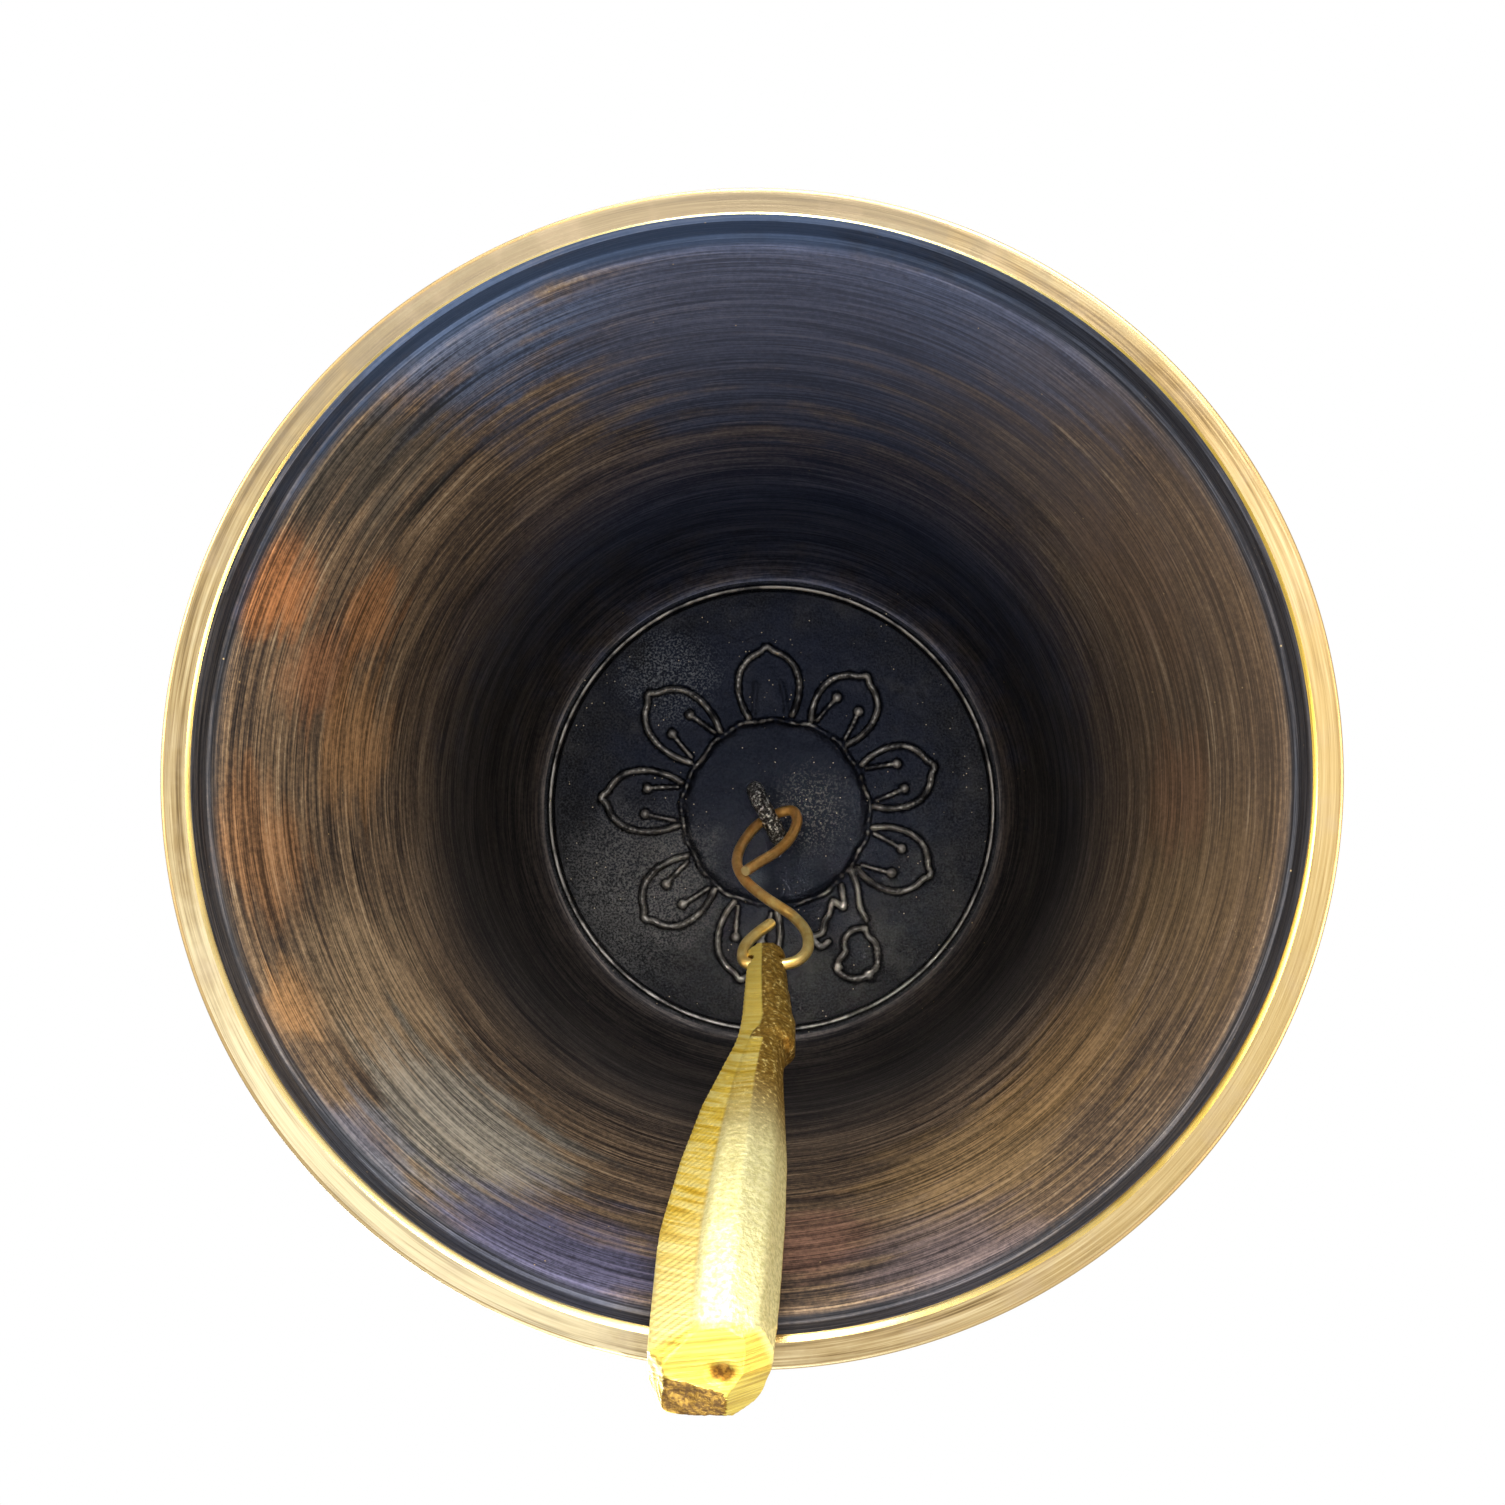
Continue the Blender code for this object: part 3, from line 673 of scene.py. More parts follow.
def crown_loop_mesh():
    """The eye on its turned foot, whose spigot goes down into the crown."""
    low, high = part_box("crown_loop")
    base = SHELL_HIGH.z / MM + 0.3
    foot_top = base + 4.2
    foot = [(3.9, low.z / MM + 0.02), (3.9, base), (10.6, base), (10.95, base + 0.35)]
    foot += [(10.95, base + 1.45), (10.3, base + 1.75), (9.4, base + 2.1), (9.0, base + 2.5)]
    foot += [(8.6, base + 2.6), (8.1, base + 3.4), (6.8, foot_top - 0.1), (5.0, foot_top + 0.25)]
    eye_radius, wire, steps, sides = 8.0, 2.72, 72, 28
    centre = high.z / MM - eye_radius - 2.75
    circle = [
        (0.0, eye_radius * math.cos(turn), centre + eye_radius * math.sin(turn))
        for turn in (math.tau * step / steps for step in range(steps))
    ]
    rings = tube_rings(circle, [wire] * steps, sides, closed=True)
    eye = (rings.reshape(-1, 3), grid_faces(steps, sides, looped=True))
    return blended("crown_loop_visual", [turned_body(foot, 96), eye], 0.3)


def hanging_ring_mesh():
    """Bent from drawn wire, its two ends butted and brazed at one side."""
    low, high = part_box("hanging_ring")
    wire = high.y / MM
    radius = high.x / MM - wire
    centre = (low.z + high.z) / 2 / MM
    steps, sides = 180, 28
    turns = circle_turns(steps)
    circle = np.column_stack(
        [radius * np.cos(turns), np.zeros(steps), centre + radius * np.sin(turns)]
    )
    seam = np.abs((turns - math.radians(8) + math.pi) % math.tau - math.pi) * radius
    radii = wire * (0.975 - 0.06 * np.exp(-((seam / 0.35) ** 2)) + 0.012 * np.exp(-((seam - 1.3) ** 2)))
    rings = tube_rings(circle, radii, sides, closed=True)
    faces = grid_faces(steps, sides, looped=True)
    mesh = mesh_of("hanging_ring_visual", rings.reshape(-1, 3), faces, 60)
    add_values(mesh, "seam", np.repeat(np.exp(-((seam / 0.6) ** 2)), sides))
    ends = np.repeat(np.clip(-np.sin(turns), 0, 1) ** 6 + np.clip(np.sin(turns), 0, 1) ** 6, sides)
    add_values(mesh, "rubbed", ends)
    return facing_out(mesh)


# ---- materials


class Finish:
    """A finish made of nodes.  Most of its methods return the output socket of a new node."""

    def __init__(self, name):
        self.material = bpy.data.materials.new(name)
        self.material.use_nodes = True
        self.nodes = self.material.node_tree.nodes
        self.links = self.material.node_tree.links
        self.shader = self.nodes["Principled BSDF"]
        place = self.make("ShaderNodeTexCoord").outputs["Object"]
        self.place = self.vector("SCALE", place, scale=1 / MM)

    def make(self, kind, **settings):
        node = self.nodes.new(kind)
        for key, value in settings.items():
            setattr(node, key, value)
        return node

    def put(self, socket, value):
        if isinstance(value, bpy.types.NodeSocket):
            self.links.new(value, socket)
        elif isinstance(value, (tuple, list)) and len(value) == 3 and socket.type == "RGBA":
            socket.default_value = (*value, 1.0)
        else:
            socket.default_value = value

    def math(self, operation, first, second=0.0, third=0.0):
        node = self.make("ShaderNodeMath", operation=operation)
        for socket, value in zip(node.inputs, (first, second, third)):
            self.put(socket, value)
        return node.outputs[0]

    def times(self, first, second):
        return self.math("MULTIPLY", first, second)

    def plus(self, first, second):
        return self.math("ADD", first, second)

    def vector(self, operation, first, second=(0.0, 0.0, 0.0), scale=1.0):
        node = self.make("ShaderNodeVectorMath", operation=operation)
        self.put(node.inputs[0], first)
        self.put(node.inputs[1], second)
        if operation == "SCALE":
            node.inputs["Scale"].default_value = scale
        return node.outputs["Value" if operation == "LENGTH" else "Vector"]

    def mix(self, share, first, second):
        node = self.make("ShaderNodeMix", data_type="RGBA")
        self.put(node.inputs[0], share)
        self.put(node.inputs[6], first)
        self.put(node.inputs[7], second)
        return node.outputs[2]

    def fit(self, value, low, high, to_low=0.0, to_high=1.0):
        """Value from low..high to to_low..to_high, smoothly, and held at the ends."""
        node = self.make("ShaderNodeMapRange", interpolation_type="SMOOTHSTEP")
        for socket, number in zip(node.inputs, (value, low, high, to_low, to_high)):
            self.put(socket, number)
        return node.outputs[0]

    def ramp(self, value, *stops):
        node = self.make("ShaderNodeValToRGB")
        elements = node.color_ramp.elements
        while len(elements) < len(stops):
            elements.new(0.5)
        for element, (position, colour) in zip(elements, stops):
            element.position = position
            element.color = (*colour, 1.0)
        self.put(node.inputs[0], value)
        return node.outputs[0]

    def grain(self, scale, detail=2.0, roughness=0.5, distortion=0.0, at=None):
        """Noise with this many features to a millimetre."""
        node = self.make("ShaderNodeTexNoise")
        self.put(node.inputs["Vector"], self.place if at is None else at)
        wanted = {"Scale": scale, "Detail": detail, "Roughness": roughness, "Distortion": distortion}
        for name, value in wanted.items():
            node.inputs[name].default_value = value
        return node.outputs["Fac"]

    def cells(self, scale):
        """Distance to the nearest of scattered points, this many to a millimetre."""
        node = self.make("ShaderNodeTexVoronoi")
        self.put(node.inputs["Vector"], self.place)
        node.inputs["Scale"].default_value = scale
        return node.outputs["Distance"]

    def lathe(self):
        """Keeps a place's height, its direction from the bell's axis, and its way along the wall."""
        apart = self.make("ShaderNodeSeparateXYZ")
        self.put(apart.inputs[0], self.place)
        across, deep, up = apart.outputs
        away = self.math("SQRT", self.plus(self.times(across, across), self.times(deep, deep)))
        safe = self.math("MAXIMUM", away, 0.01)
        self.up = up
        self.unit = (self.math("DIVIDE", across, safe), self.math("DIVIDE", deep, safe))
        self.along = self.math("SUBTRACT", up, away)

    def streaks(self, around, along, detail=2.0, roughness=0.5):
        """Noise drawn out round the axis: features per radian and per millimetre of profile."""
        joined = self.make("ShaderNodeCombineXYZ")
        self.put(joined.inputs[0], self.times(self.unit[0], around))
        self.put(joined.inputs[1], self.times(self.unit[1], around))
        self.put(joined.inputs[2], self.times(self.along, along))
        return self.grain(1.0, detail, roughness, at=joined.outputs[0])

    def value(self, name):
        """A number that add_values kept on the mesh."""
        return self.make("ShaderNodeAttribute", attribute_name=name).outputs["Fac"]

    def patch(self, angle, height, radius, size, raggedness=0.0):
        """1 inside a ragged patch, centred at this angle, height above the mouth and radius."""
        turn = math.radians(angle)
        centre = (radius * math.cos(turn), radius * math.sin(turn), MOUTH_Z + height)
        apart = self.vector("SUBTRACT", self.place, centre)
        gap = self.math("DIVIDE", self.vector("LENGTH", apart), size)
        edge = self.math("MULTIPLY_ADD", self.grain(0.16, 4.0, 0.65), 1.0, -0.5)
        edge = self.plus(edge, raggedness)
        return self.fit(self.plus(gap, edge), 1.1, 0.35)

    def stained(self, colour, place, size, tint, share):
        """The colour with this share of a tint over it, inside a patch."""
        return self.mix(self.times(self.patch(*place, size), share), colour, tint)

    def bump(self, height, distance, strength=1.0):
        node = self.make("ShaderNodeBump")
        node.inputs["Strength"].default_value = strength
        node.inputs["Distance"].default_value = distance * MM
        self.put(node.inputs["Height"], height)
        return node.outputs[0]

    def done(self, colour, roughness, normal, metallic=1.0, brushed=0.0):
        self.put(self.shader.inputs["Base Color"], colour)
        self.put(self.shader.inputs["Roughness"], roughness)
        self.put(self.shader.inputs["Normal"], normal)
        self.put(self.shader.inputs["Metallic"], metallic)
        if brushed:
            self.shader.inputs["Anisotropic"].default_value = brushed
            tangent = self.make("ShaderNodeTangent", direction_type="RADIAL", axis="Z")
            self.links.new(tangent.outputs[0], self.shader.inputs["Tangent"])
        return self.material


def wall_finish():
    """Turned bronze gone dark, with copper, grey and violet where the patina is thin, and with painted
    highlights, reflections and shade in its colour.
    """
    f = Finish("turned_bronze")
    f.lathe()
    coarse = f.streaks(1.3, 0.24, 3.0, 0.6)
    medium = f.streaks(2.2, 0.95, 4.0, 0.68)
    fine = f.streaks(3.6, 2.6, 3.0, 0.7)
    grit = f.grain(1.3, 3.0, 0.7)
    lines = f.plus(f.math("MULTIPLY_ADD", grit, 0.16, f.times(coarse, 0.17)),
                   f.plus(f.times(medium, 0.30), f.times(fine, 0.37)))
    colour = f.ramp(
        lines, (0.40, (0.014, 0.012, 0.013)), (0.465, (0.062, 0.046, 0.037)),
        (0.51, (0.145, 0.100, 0.066)), (0.555, (0.28, 0.190, 0.115)), (0.62, (0.54, 0.42, 0.28)),
    )
    broken = f.fit(lines, 0.41, 0.58)
    # Patches: angle, height and radius of the middle, size, colour, and the share of it there. The blue
    # patches near the top are partly painted reflection, and the pale grey-beige one is a painted
    # highlight; the rest are patina colour.
    tints = (
        (92, 12, 66, 42.0, (0.12, 0.17, 0.30), 0.72),
        (58, 2, 70, 20.0, (0.16, 0.24, 0.42), 0.75),
        (122, 4, 69, 22.0, (0.15, 0.20, 0.32), 0.6),
        (21, 12, 66, 9.0, (0.66, 0.28, 0.11), 0.85),
        (13, 19, 62, 10.0, (0.58, 0.26, 0.12), 0.55),
        (24, 28, 59, 8.0, (0.66, 0.31, 0.13), 0.7),
        (6, 33, 57, 12.0, (0.60, 0.33, 0.15), 0.6),
        (-8, 12, 66, 12.0, (0.58, 0.29, 0.13), 0.55),
        (-27, 9, 67.5, 7.0, (0.72, 0.40, 0.18), 0.75),
        (-30, 26, 60, 17.0, (0.62, 0.45, 0.28), 0.6),
        (-52, 22, 61, 19.0, (0.56, 0.53, 0.46), 0.7),
        (-68, 7, 68, 19.0, (0.15, 0.155, 0.29), 0.85),
        (-98, 19, 62, 10.0, (0.44, 0.23, 0.17), 0.6),
        (-120, 24, 60, 18.0, (0.58, 0.38, 0.18), 0.65),
        (-140, 30, 58, 18.0, (0.55, 0.34, 0.15), 0.6),
        (-165, 22, 61, 20.0, (0.44, 0.29, 0.14), 0.5),
        (152, 26, 59, 16.0, (0.34, 0.20, 0.12), 0.5),
        (-178, 27, 59, 10.0, (0.42, 0.21, 0.12), 0.6),
        (39, 14, 65, 14.0, (0.11, 0.10, 0.085), 0.75),
        (-44, 5, 69, 9.0, (0.20, 0.23, 0.33), 0.6),
        (-112, 8, 68, 15.0, (0.30, 0.24, 0.27), 0.6),
    )
    for angle, height, radius, size, tint, share in tints:
        inside = f.patch(angle, height, radius, size, f.math("MULTIPLY_ADD", coarse, 2.2, -1.1))
        inside = f.times(inside, share)
        shade = f.mix(broken, tuple(0.16 * part for part in tint), tint)
        colour = f.mix(inside, colour, shade)
    # Painted shade: the upper side of the wall is pulled towards a dull blue-grey and its streaks muted,
    # standing in for shade and a bluish reflection there; it is also made rougher.
    top_shade = f.patch(104, 14, 65, 58.0)
    colour = f.mix(f.times(top_shade, 0.62), colour, (0.058, 0.060, 0.082))
    # Fewer bright lines on the picture's right.
    colour = f.stained(colour, (170, 14, 65), 60.0, (0.135, 0.092, 0.058), 0.42)
    # Painted shade and reflection: the wall darkens deeper in the bell, partly its darker patina and
    # partly painted shade where little light reaches, and its upper part there is tinted blue as a
    # painted reflection of the sky.
    depth_shade = f.fit(f.up, MOUTH_Z + 30, MOUTH_Z + 78)
    sky_reflection = f.patch(96, 66, 46, 64.0)
    deep_patina_and_shade = f.mix(f.fit(lines, 0.42, 0.60), f.mix(sky_reflection, (0.014, 0.014, 0.017), (0.014, 0.024, 0.058)),
                 f.mix(sky_reflection, (0.080, 0.072, 0.072), (0.075, 0.100, 0.185)))
    colour = f.mix(f.times(depth_shade, 0.88), colour, deep_patina_and_shade)
    # Painted shade: the steep band just inside the lip is coloured near-black, standing in for the dark
    # it mirrors from deep in the bell.
    band = f.fit(f.up, MOUTH_Z + 6.4, MOUTH_Z + 5.4)
    band_shade = f.ramp(fine, (0.42, (0.012, 0.014, 0.019)), (0.60, (0.050, 0.056, 0.070)))
    # Painted reflection: the steep band is tinted blue near the top.
    band_shade = f.stained(band_shade, (72, 3, 71), 62.0, (0.052, 0.082, 0.145), 0.8)
    colour = f.mix(f.times(band, 0.85), colour, band_shade)
    specks = f.fit(f.cells(0.55), 0.09, 0.05)
    chosen = f.times(specks, f.fit(f.grain(0.21, 1.0), 0.60, 0.66))
    colour = f.mix(f.times(chosen, 0.8), colour, (0.45, 0.33, 0.17))
    roughness = f.fit(lines, 0.40, 0.62, 0.52, 0.34)
    roughness = f.math("MULTIPLY_ADD", band, 0.22, roughness)
    roughness = f.math("MULTIPLY_ADD", top_shade, 0.12, roughness)
    height = f.plus(f.times(medium, 0.5), fine)
    normal = f.bump(height, 0.07, 0.6)
    return f.done(colour, roughness, normal, 0.7, brushed=0.55)


def lip_finish():
    """Pale antique brass, faced on a lathe."""
    f = Finish("lip_brass")
    f.lathe()
    broad = f.streaks(2.2, 0.9, 3.0, 0.6)
    fine = f.streaks(4.5, 4.5, 3.0, 0.6)
    lines = f.plus(f.times(broad, 0.55), f.times(fine, 0.45))
    colour = f.ramp(
        lines, (0.38, (0.15, 0.10, 0.045)), (0.46, (0.29, 0.205, 0.095)), (0.53, (0.40, 0.30, 0.15)),
        (0.63, (0.56, 0.45, 0.26)),
    )
    # Painted highlight: paler and creamier on one side of the lip.
    cream_highlight = f.patch(-50, 0, 73, 60.0)
    colour = f.mix(f.times(cream_highlight, f.fit(lines, 0.36, 0.56, 0.25, 0.6)), colour, (0.82, 0.71, 0.46))
    colour = f.stained(colour, (200, 0, 73), 60.0, (0.50, 0.35, 0.13), 0.35)
    # Painted shade: duller and darker at the top.
    colour = f.stained(colour, (78, 0, 73), 78.0, (0.185, 0.155, 0.112), 0.72)
    stain = f.fit(f.grain(0.09, 4.0, 0.6), 0.50, 0.72)
    colour = f.mix(f.times(stain, 0.35), colour, (0.40, 0.31, 0.21))
    roughness = f.fit(lines, 0.35, 0.65, 0.46, 0.34)
    return f.done(colour, roughness, f.bump(fine, 0.04, 0.45), 1.0, brushed=0.4)


def bevel_finish():
    """The lip's inner edge, rubbed bright."""
    f = Finish("rubbed_brass")
    f.lathe()
    fine = f.streaks(5.0, 4.0, 2.0)
    colour = f.ramp(fine, (0.35, (0.83, 0.58, 0.20)), (0.65, (0.98, 0.80, 0.38)))
    colour = f.stained(colour, (178, 0, 72), 92.0, (0.66, 0.44, 0.06), 0.85)
    colour = f.stained(colour, (18, 0, 72), 48.0, (0.44, 0.32, 0.10), 0.8)
    return f.done(colour, f.fit(fine, 0.3, 0.7, 0.30, 0.20), f.bump(fine, 0.02, 0.4), 1.0)


def crown_finish():
    """The crown as it left the sand, almost black, its raised lines rubbed."""
    f = Finish("cast_crown")
    sand = f.grain(2.6, 4.0, 0.62)
    cloud = f.grain(0.12, 4.0, 0.6)
    colour = f.ramp(sand, (0.38, (0.003, 0.0035, 0.005)), (0.66, (0.022, 0.022, 0.025)))
    colour = f.mix(f.times(f.fit(cloud, 0.50, 0.66), 0.35), colour, (0.045, 0.043, 0.043))
    # A blue cast on the upper part, and painted shade in the middle, darkening what the hook's lamp
    # lights there.
    colour = f.stained(colour, (96, CROWN_DEPTH, 10), 40.0, (0.006, 0.0095, 0.023), 0.66)
    colour = f.stained(colour, (0, CROWN_DEPTH, 0), 26.0, (0.002, 0.0035, 0.008), 0.45)
    # Painted highlight: a pale sheen on one side of the crown.
    sheen_patch = f.patch(-30, CROWN_DEPTH, 27, 17.0)
    sheen_patch = f.times(sheen_patch, f.fit(sand, 0.40, 0.64, 0.12, 0.9))
    colour = f.mix(sheen_patch, colour, (0.085, 0.082, 0.080))
    brushed = f.times(f.patch(52, CROWN_DEPTH, 30, 10.0), f.fit(sand, 0.46, 0.64))
    colour = f.mix(f.times(brushed, 0.7), colour, (0.10, 0.105, 0.115))
    worn_middle = f.times(f.patch(190, CROWN_DEPTH, 7, 9.0), f.fit(sand, 0.52, 0.62))
    colour = f.mix(f.times(worn_middle, 0.4), colour, (0.15, 0.14, 0.125))
    raised = f.fit(f.value("relief"), 0.36, 0.80)
    worn = f.times(raised, f.fit(f.grain(0.32, 3.0), 0.33, 0.62, 0.12, 1.0))
    colour = f.mix(worn, colour, (0.40, 0.38, 0.35))
    glint = f.times(f.fit(f.cells(1.1), 0.13, 0.06), f.fit(f.grain(0.5, 1.0), 0.58, 0.64))
    colour = f.mix(glint, colour, (0.62, 0.52, 0.36))
    roughness = f.fit(sand, 0.3, 0.7, 0.55, 0.30)
    normal = f.bump(f.plus(sand, f.grain(0.8, 3.0)), 0.16, 0.8)
    return f.done(colour, roughness, normal, 0.85)


def outside_finish(name, dark, light, rubbed):
    """Antique brass: dark in the hollows, rubbed on bands and edges."""
    f = Finish(name)
    f.lathe()
    broad = f.grain(0.055, 5.0, 0.6, 0.4)
    lines = f.streaks(3.0, 2.4, 3.0, 0.6)
    share = f.plus(f.times(broad, 0.62), f.times(lines, 0.38))
    colour = f.ramp(share, (0.36, dark), (0.52, tuple((a + b) / 2 for a, b in zip(dark, light))),
                    (0.66, light))
    edge = f.make("ShaderNodeNewGeometry").outputs["Pointiness"]
    colour = f.mix(f.fit(edge, 0.505, 0.56), colour, rubbed)
    colour = f.mix(f.fit(edge, 0.495, 0.45), colour, tuple(0.4 * v for v in dark))
    roughness = f.fit(share, 0.35, 0.66, 0.52, 0.36)
    normal = f.bump(f.plus(lines, f.grain(1.2, 3.0)), 0.05, 0.5)
    return f.done(colour, roughness, normal, 1.0, brushed=0.3)


def iron_finish():
    f = Finish("rough_iron")
    scale = f.grain(1.6, 5.0, 0.65)
    # The palest stop gives sparse near-white specks: painted glints on the dark iron.
    colour = f.ramp(scale, (0.42, (0.014, 0.013, 0.014)), (0.54, (0.11, 0.108, 0.105)),
                    (0.60, (0.95, 0.94, 0.90)))
    normal = f.bump(scale, 0.7, 1.0)
    return f.done(colour, f.fit(scale, 0.35, 0.65, 0.55, 0.28), normal, 0.9)


def wire_finish():
    """Drawn brass wire, browned above and rubbed gold below, with bright cut ends."""
    f = Finish("hook_brass")
    mottle = f.grain(0.5, 4.0, 0.6)
    drawn = f.grain(2.8, 3.0, 0.5)
    brown = f.ramp(mottle, (0.34, (0.80, 0.38, 0.09)), (0.66, (1.0, 0.60, 0.20)))
    gold = f.ramp(mottle, (0.34, (0.82, 0.54, 0.13)), (0.66, (1.0, 0.78, 0.30)))
    share = f.plus(f.value("wear"), f.math("MULTIPLY_ADD", mottle, 0.8, -0.4))
    colour = f.mix(f.fit(share, 0.1, 0.8), brown, gold)
    colour = f.mix(f.value("cut"), colour, (0.95, 0.74, 0.34))
    return f.done(colour, f.fit(mottle, 0.3, 0.7, 0.33, 0.29), f.bump(drawn, 0.008, 0.4), 0.86)


def clapper_finish():
    """Cast brass, filed by hand: gold facets with strokes, a greyer front whose pale lower part is
    painted reflection, painted light on the tang and lower end, and a dark blunt end, darker at the back
    as painted shade.
    """
    f = Finish("filed_brass")
    sand = f.grain(1.5, 4.0, 0.62)
    fine = f.grain(4.5, 3.0, 0.6)
    apart = f.make("ShaderNodeSeparateXYZ")
    f.put(apart.inputs[0], f.place)
    across, deep, up = apart.outputs
    joined = f.make("ShaderNodeCombineXYZ")
    f.put(joined.inputs[0], f.times(across, 0.08))
    f.put(joined.inputs[1], f.math("MULTIPLY_ADD", across, 0.3, f.times(deep, 2.9)))
    f.put(joined.inputs[2], f.times(up, 0.06))
    strokes = f.grain(1.0, 3.0, 0.6, at=joined.outputs[0])
    filed, front = f.value("filed"), f.value("front")
    gold = f.ramp(strokes, (0.34, (0.68, 0.44, 0.03)), (0.46, (0.90, 0.66, 0.09)),
                  (0.62, (1.0, 0.86, 0.30)))
    # Painted highlight: the filed gold turns pale cream towards the lower end.
    pale = f.times(f.fit(f.value("down"), 0.66, 0.90), 0.5)
    gold = f.mix(pale, gold, (0.95, 0.88, 0.46))
    # Painted light: the tang's gold is made brighter and yellower, where the bell shades it.
    tang = f.times(f.fit(f.value("down"), 0.30, 0.14), 0.7)
    gold = f.mix(tang, gold, (1.0, 0.76, 0.17))
    cast = f.ramp(sand, (0.40, (0.16, 0.085, 0.012)), (0.58, (0.36, 0.22, 0.04)),
                  (0.66, (1.0, 0.80, 0.30)))
    # Painted reflection: the lower front is a pale silvery grey standing in for the bright light it
    # reflects.
    front_grey_and_reflection = f.ramp(sand, (0.38, (0.40, 0.37, 0.17)), (0.62, (0.70, 0.66, 0.36)))
    # A grey-green patch on the front.
    front_grey_and_reflection = f.stained(front_grey_and_reflection, (273, 18, 57), 9.0, (0.24, 0.25, 0.19), 0.8)
    lower = f.fit(f.value("down"), 0.38, 0.64)
    cast = f.mix(f.times(lower, front), cast, front_grey_and_reflection)
    colour = f.mix(filed, cast, gold)
    tail = f.fit(f.value("down"), 0.935, 0.955)
    sawn = f.ramp(strokes, (0.36, (0.50, 0.31, 0.02)), (0.58, (0.86, 0.66, 0.09)))
    colour = f.mix(f.times(tail, 0.85), colour, sawn)
    dark = f.fit(f.plus(f.value("dark"), f.math("MULTIPLY_ADD", sand, 0.6, -0.3)), 0.3, 0.8)
    colour = f.mix(dark, colour, f.mix(f.fit(sand, 0.4, 0.6), (0.12, 0.05, 0.005), (0.29, 0.135, 0.012)))
    height = f.mix(filed, sand, strokes)
    normal = f.bump(f.plus(height, f.times(fine, 0.3)), 0.16, 0.7)
    roughness = f.fit(sand, 0.3, 0.7, 0.46, 0.30)
    roughness = f.math("MULTIPLY_ADD", f.times(lower, front), 0.10, roughness)
    return f.done(colour, roughness, normal, 0.78)


def ring_finish():
    f = Finish("ring_wire")
    mottle = f.grain(0.35, 4.0, 0.6)
    drawn = f.grain(2.2, 3.0, 0.5)
    colour = f.ramp(mottle, (0.36, (0.16, 0.095, 0.035)), (0.52, (0.36, 0.235, 0.095)),
                    (0.68, (0.60, 0.44, 0.20)))
    colour = f.mix(f.times(f.value("rubbed"), 0.7), colour, (0.86, 0.66, 0.30))
    colour = f.mix(f.value("seam"), colour, (0.10, 0.07, 0.04))
    return f.done(colour, f.fit(mottle, 0.35, 0.65, 0.46, 0.32), f.bump(drawn, 0.05, 0.5), 1.0)


# ---- studio


def add_camera():
    """Looks up into the mouth, a little off the bell's axis, as the photograph does."""
    mouth = SHELL_LOW.z
    eye = Vector((-0.01102, -0.01755, mouth - 0.2614))
    target = Vector((-0.00089, 0.00177, mouth))
    ahead = (target - eye).normalized()
    right = ahead.cross(Vector((0.0, 1.0, 0.0))).normalized()
    data = bpy.data.cameras.new("camera")
    data.sensor_width = 36.0
    data.lens = 49.61
    data.clip_start = 0.01
    camera = in_scene("camera", data)
    camera.matrix_world = Matrix((right, right.cross(ahead), -ahead)).transposed().to_4x4()
    camera.location = eye
    bpy.context.scene.camera = camera


def add_light(name, place, aim, size, power, colour=(1.0, 1.0, 1.0), spread=180.0):
    """A soft box that isn't seen itself, its light spread over this many degrees."""
    data = bpy.data.lights.new(name, "AREA")
    data.shape = "DISK"
    data.size = size
    data.spread = math.radians(spread)
    data.energy = power
    data.color = colour
    lamp = in_scene(name, data)
    lamp.location = place
    lamp.rotation_mode = "QUATERNION"
    lamp.rotation_quaternion = (Vector(aim) - Vector(place)).to_track_quat("-Z", "Y")
    lamp.visible_camera = False


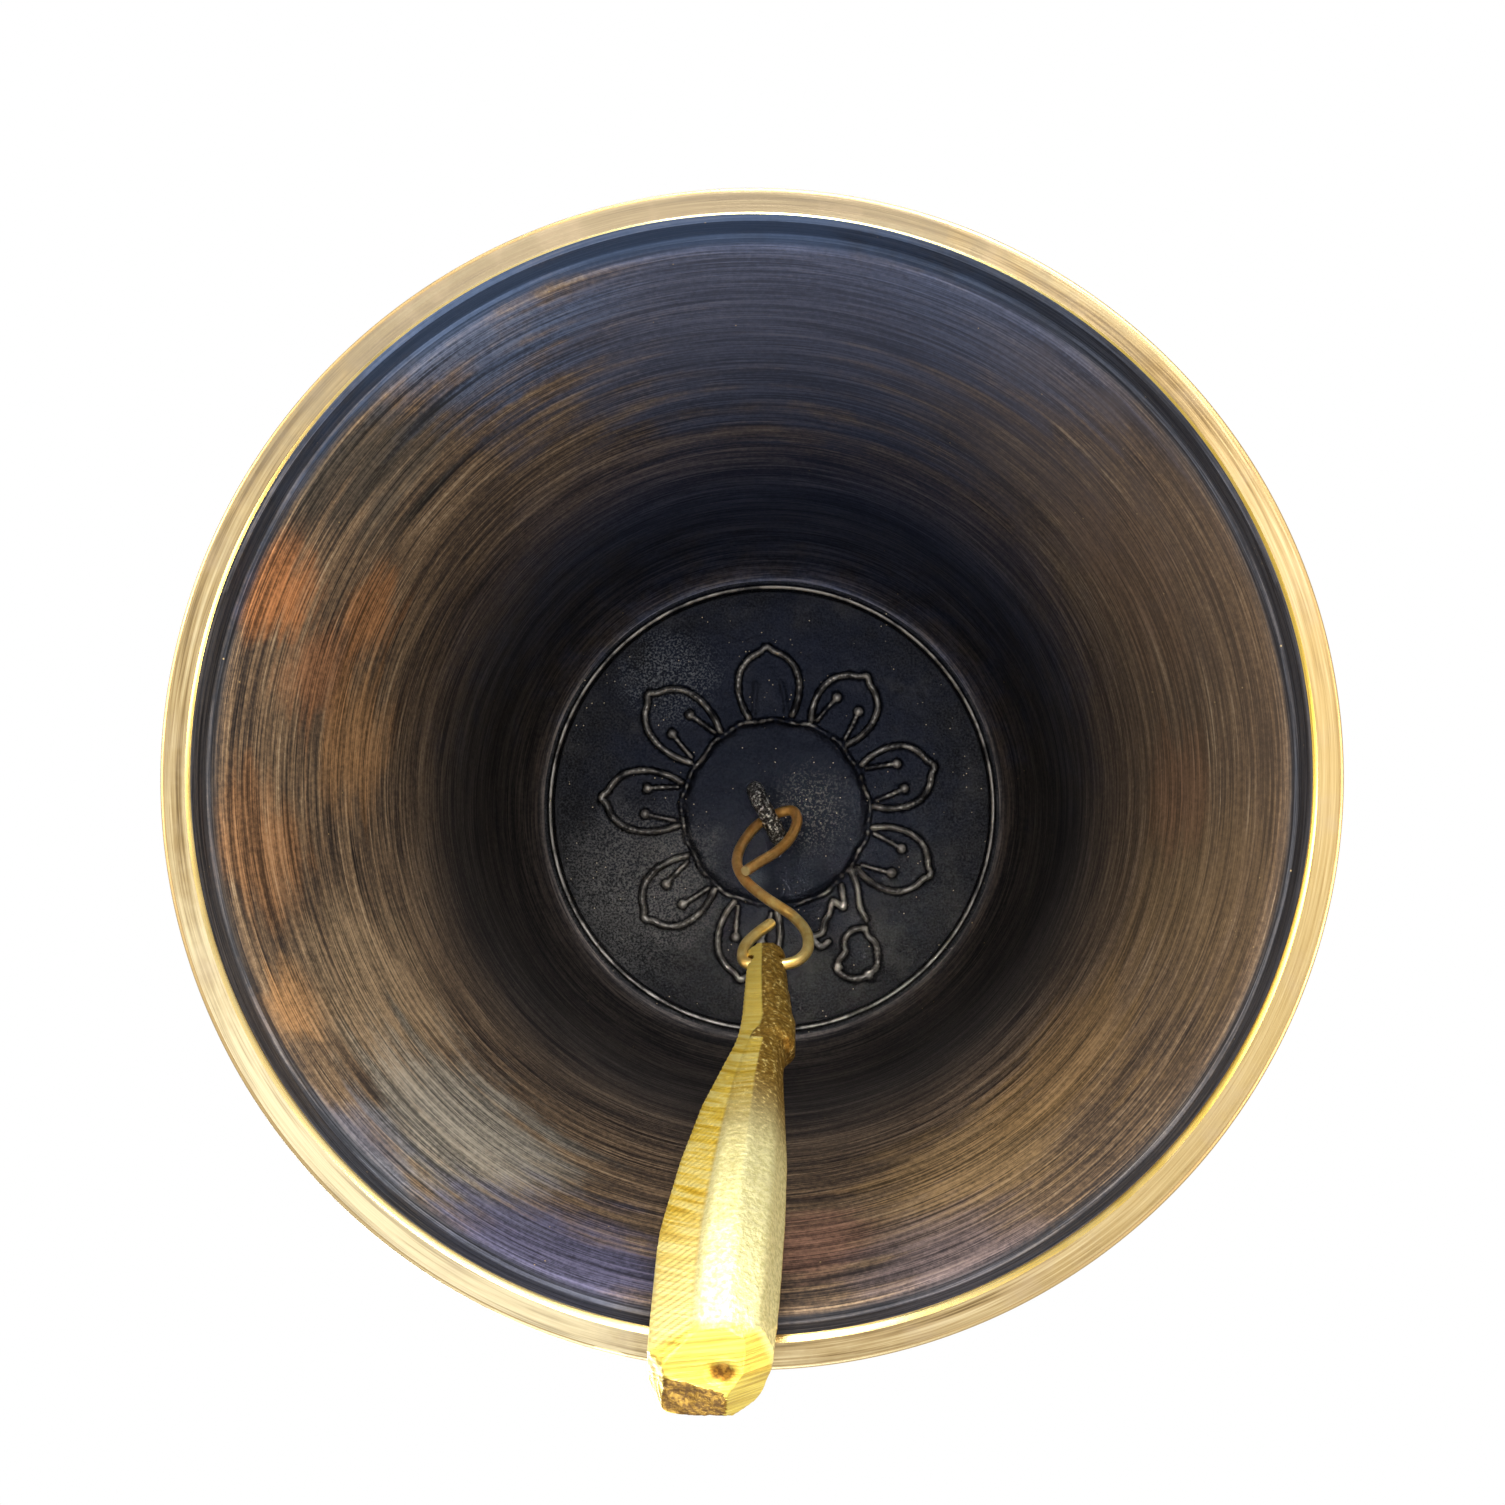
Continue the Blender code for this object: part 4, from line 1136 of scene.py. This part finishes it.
def add_studio():
    """A bright room with a pale floor far below, and the lamps."""
    world = bpy.data.worlds.new("studio")
    bpy.context.scene.world = world
    world.use_nodes = True
    nodes, links = world.node_tree.nodes, world.node_tree.links
    place = nodes.new("ShaderNodeTexCoord")
    apart = nodes.new("ShaderNodeSeparateXYZ")
    ramp = nodes.new("ShaderNodeValToRGB")
    ramp.color_ramp.elements[0].position = 0.0
    ramp.color_ramp.elements[0].color = (0.55, 0.56, 0.58, 1.0)
    ramp.color_ramp.elements[1].position = 0.75
    ramp.color_ramp.elements[1].color = (1.0, 1.0, 1.0, 1.0)
    links.new(place.outputs["Generated"], apart.inputs[0])
    links.new(apart.outputs[2], ramp.inputs[0])
    links.new(ramp.outputs[0], nodes["Background"].inputs[0])
    floor = bpy.data.meshes.new("floor")
    half, level = 30.0, SHELL_LOW.z - 0.6
    corners = [(-half, -half, level), (half, -half, level), (half, half, level), (-half, half, level)]
    floor.from_pydata(corners, [], [(0, 1, 2, 3)])
    obj = in_scene("floor", floor)
    paint = Finish("pale_floor")
    tone = paint.ramp(paint.grain(0.004, 2.0), (0.3, (0.775, 0.775, 0.765)), (0.7, (0.795, 0.795, 0.785)))
    paint.put(paint.shader.inputs["Base Color"], tone)
    paint.shader.inputs["Roughness"].default_value = 0.8
    floor.materials.append(paint.material)
    mouth = (0.0, 0.0, SHELL_LOW.z)
    add_light("key", (-0.16, 0.50, -0.52), mouth, 0.34, 7.5, (1.0, 0.98, 0.95))
    add_light("front", (0.06, 0.80, -0.27), (0.0, -0.05, -0.15), 0.22, 3.8, (1.0, 0.97, 0.90))
    add_light("warm_side", (-0.50, -0.10, -0.42), mouth, 0.26, 3.0, (1.0, 0.88, 0.70))
    add_light("left_side", (0.50, 0.16, -0.40), mouth, 0.26, 3.2, (1.0, 0.95, 0.88))
    add_light("cool_fill", (0.10, -0.55, -0.40), mouth, 0.30, 3.2, (0.55, 0.72, 1.0))
    hook_at = (0.0, -0.012, -0.075)
    add_light("hook_light", (0.13, 0.10, -0.50), hook_at, 0.02, 0.0045, (1.0, 0.90, 0.72), 7.0)
    add_light("overhead", (0.35, -0.45, 0.55), (0.0, 0.0, -0.08), 0.45, 6.0)
    bpy.context.scene.view_settings.view_transform = "Standard"


# ---- pieces

add_camera()
add_studio()

shell = new_piece("bell_shell_fine", bell_shell_mesh(), "bell", "bell_bronze", "bell_shell")
antique = outside_finish("antique_brass", (0.10, 0.062, 0.028), (0.36, 0.235, 0.10), (0.72, 0.52, 0.24))
for finish in (antique, lip_finish(), bevel_finish(), wall_finish(), crown_finish()):
    shell.data.materials.append(finish)

staple = new_piece("clapper_staple_rough", staple_mesh(), "bell", "staple_iron", "clapper_staple")
staple.data.materials.append(iron_finish())

hook = new_piece("s_hook_wire", hook_mesh(), "hook", "hook_wire", "s_hook")
hook.data.materials.append(wire_finish())

clapper = new_piece("clapper_filed", clapper_mesh(), "clapper", "clapper_brass", "clapper")
clapper.data.materials.append(clapper_finish())

loop = new_piece("crown_loop_cast", crown_loop_mesh(), "bell", "loop_brass", "crown_loop")
loop.data.materials.append(
    outside_finish("loop_antique", (0.12, 0.075, 0.032), (0.40, 0.265, 0.115), (0.78, 0.57, 0.27))
)

ring = new_piece("hanging_ring_drawn", hanging_ring_mesh(), "ring", "ring_brass", "hanging_ring")
ring.data.materials.append(ring_finish())

bpy.context.view_layer.update()
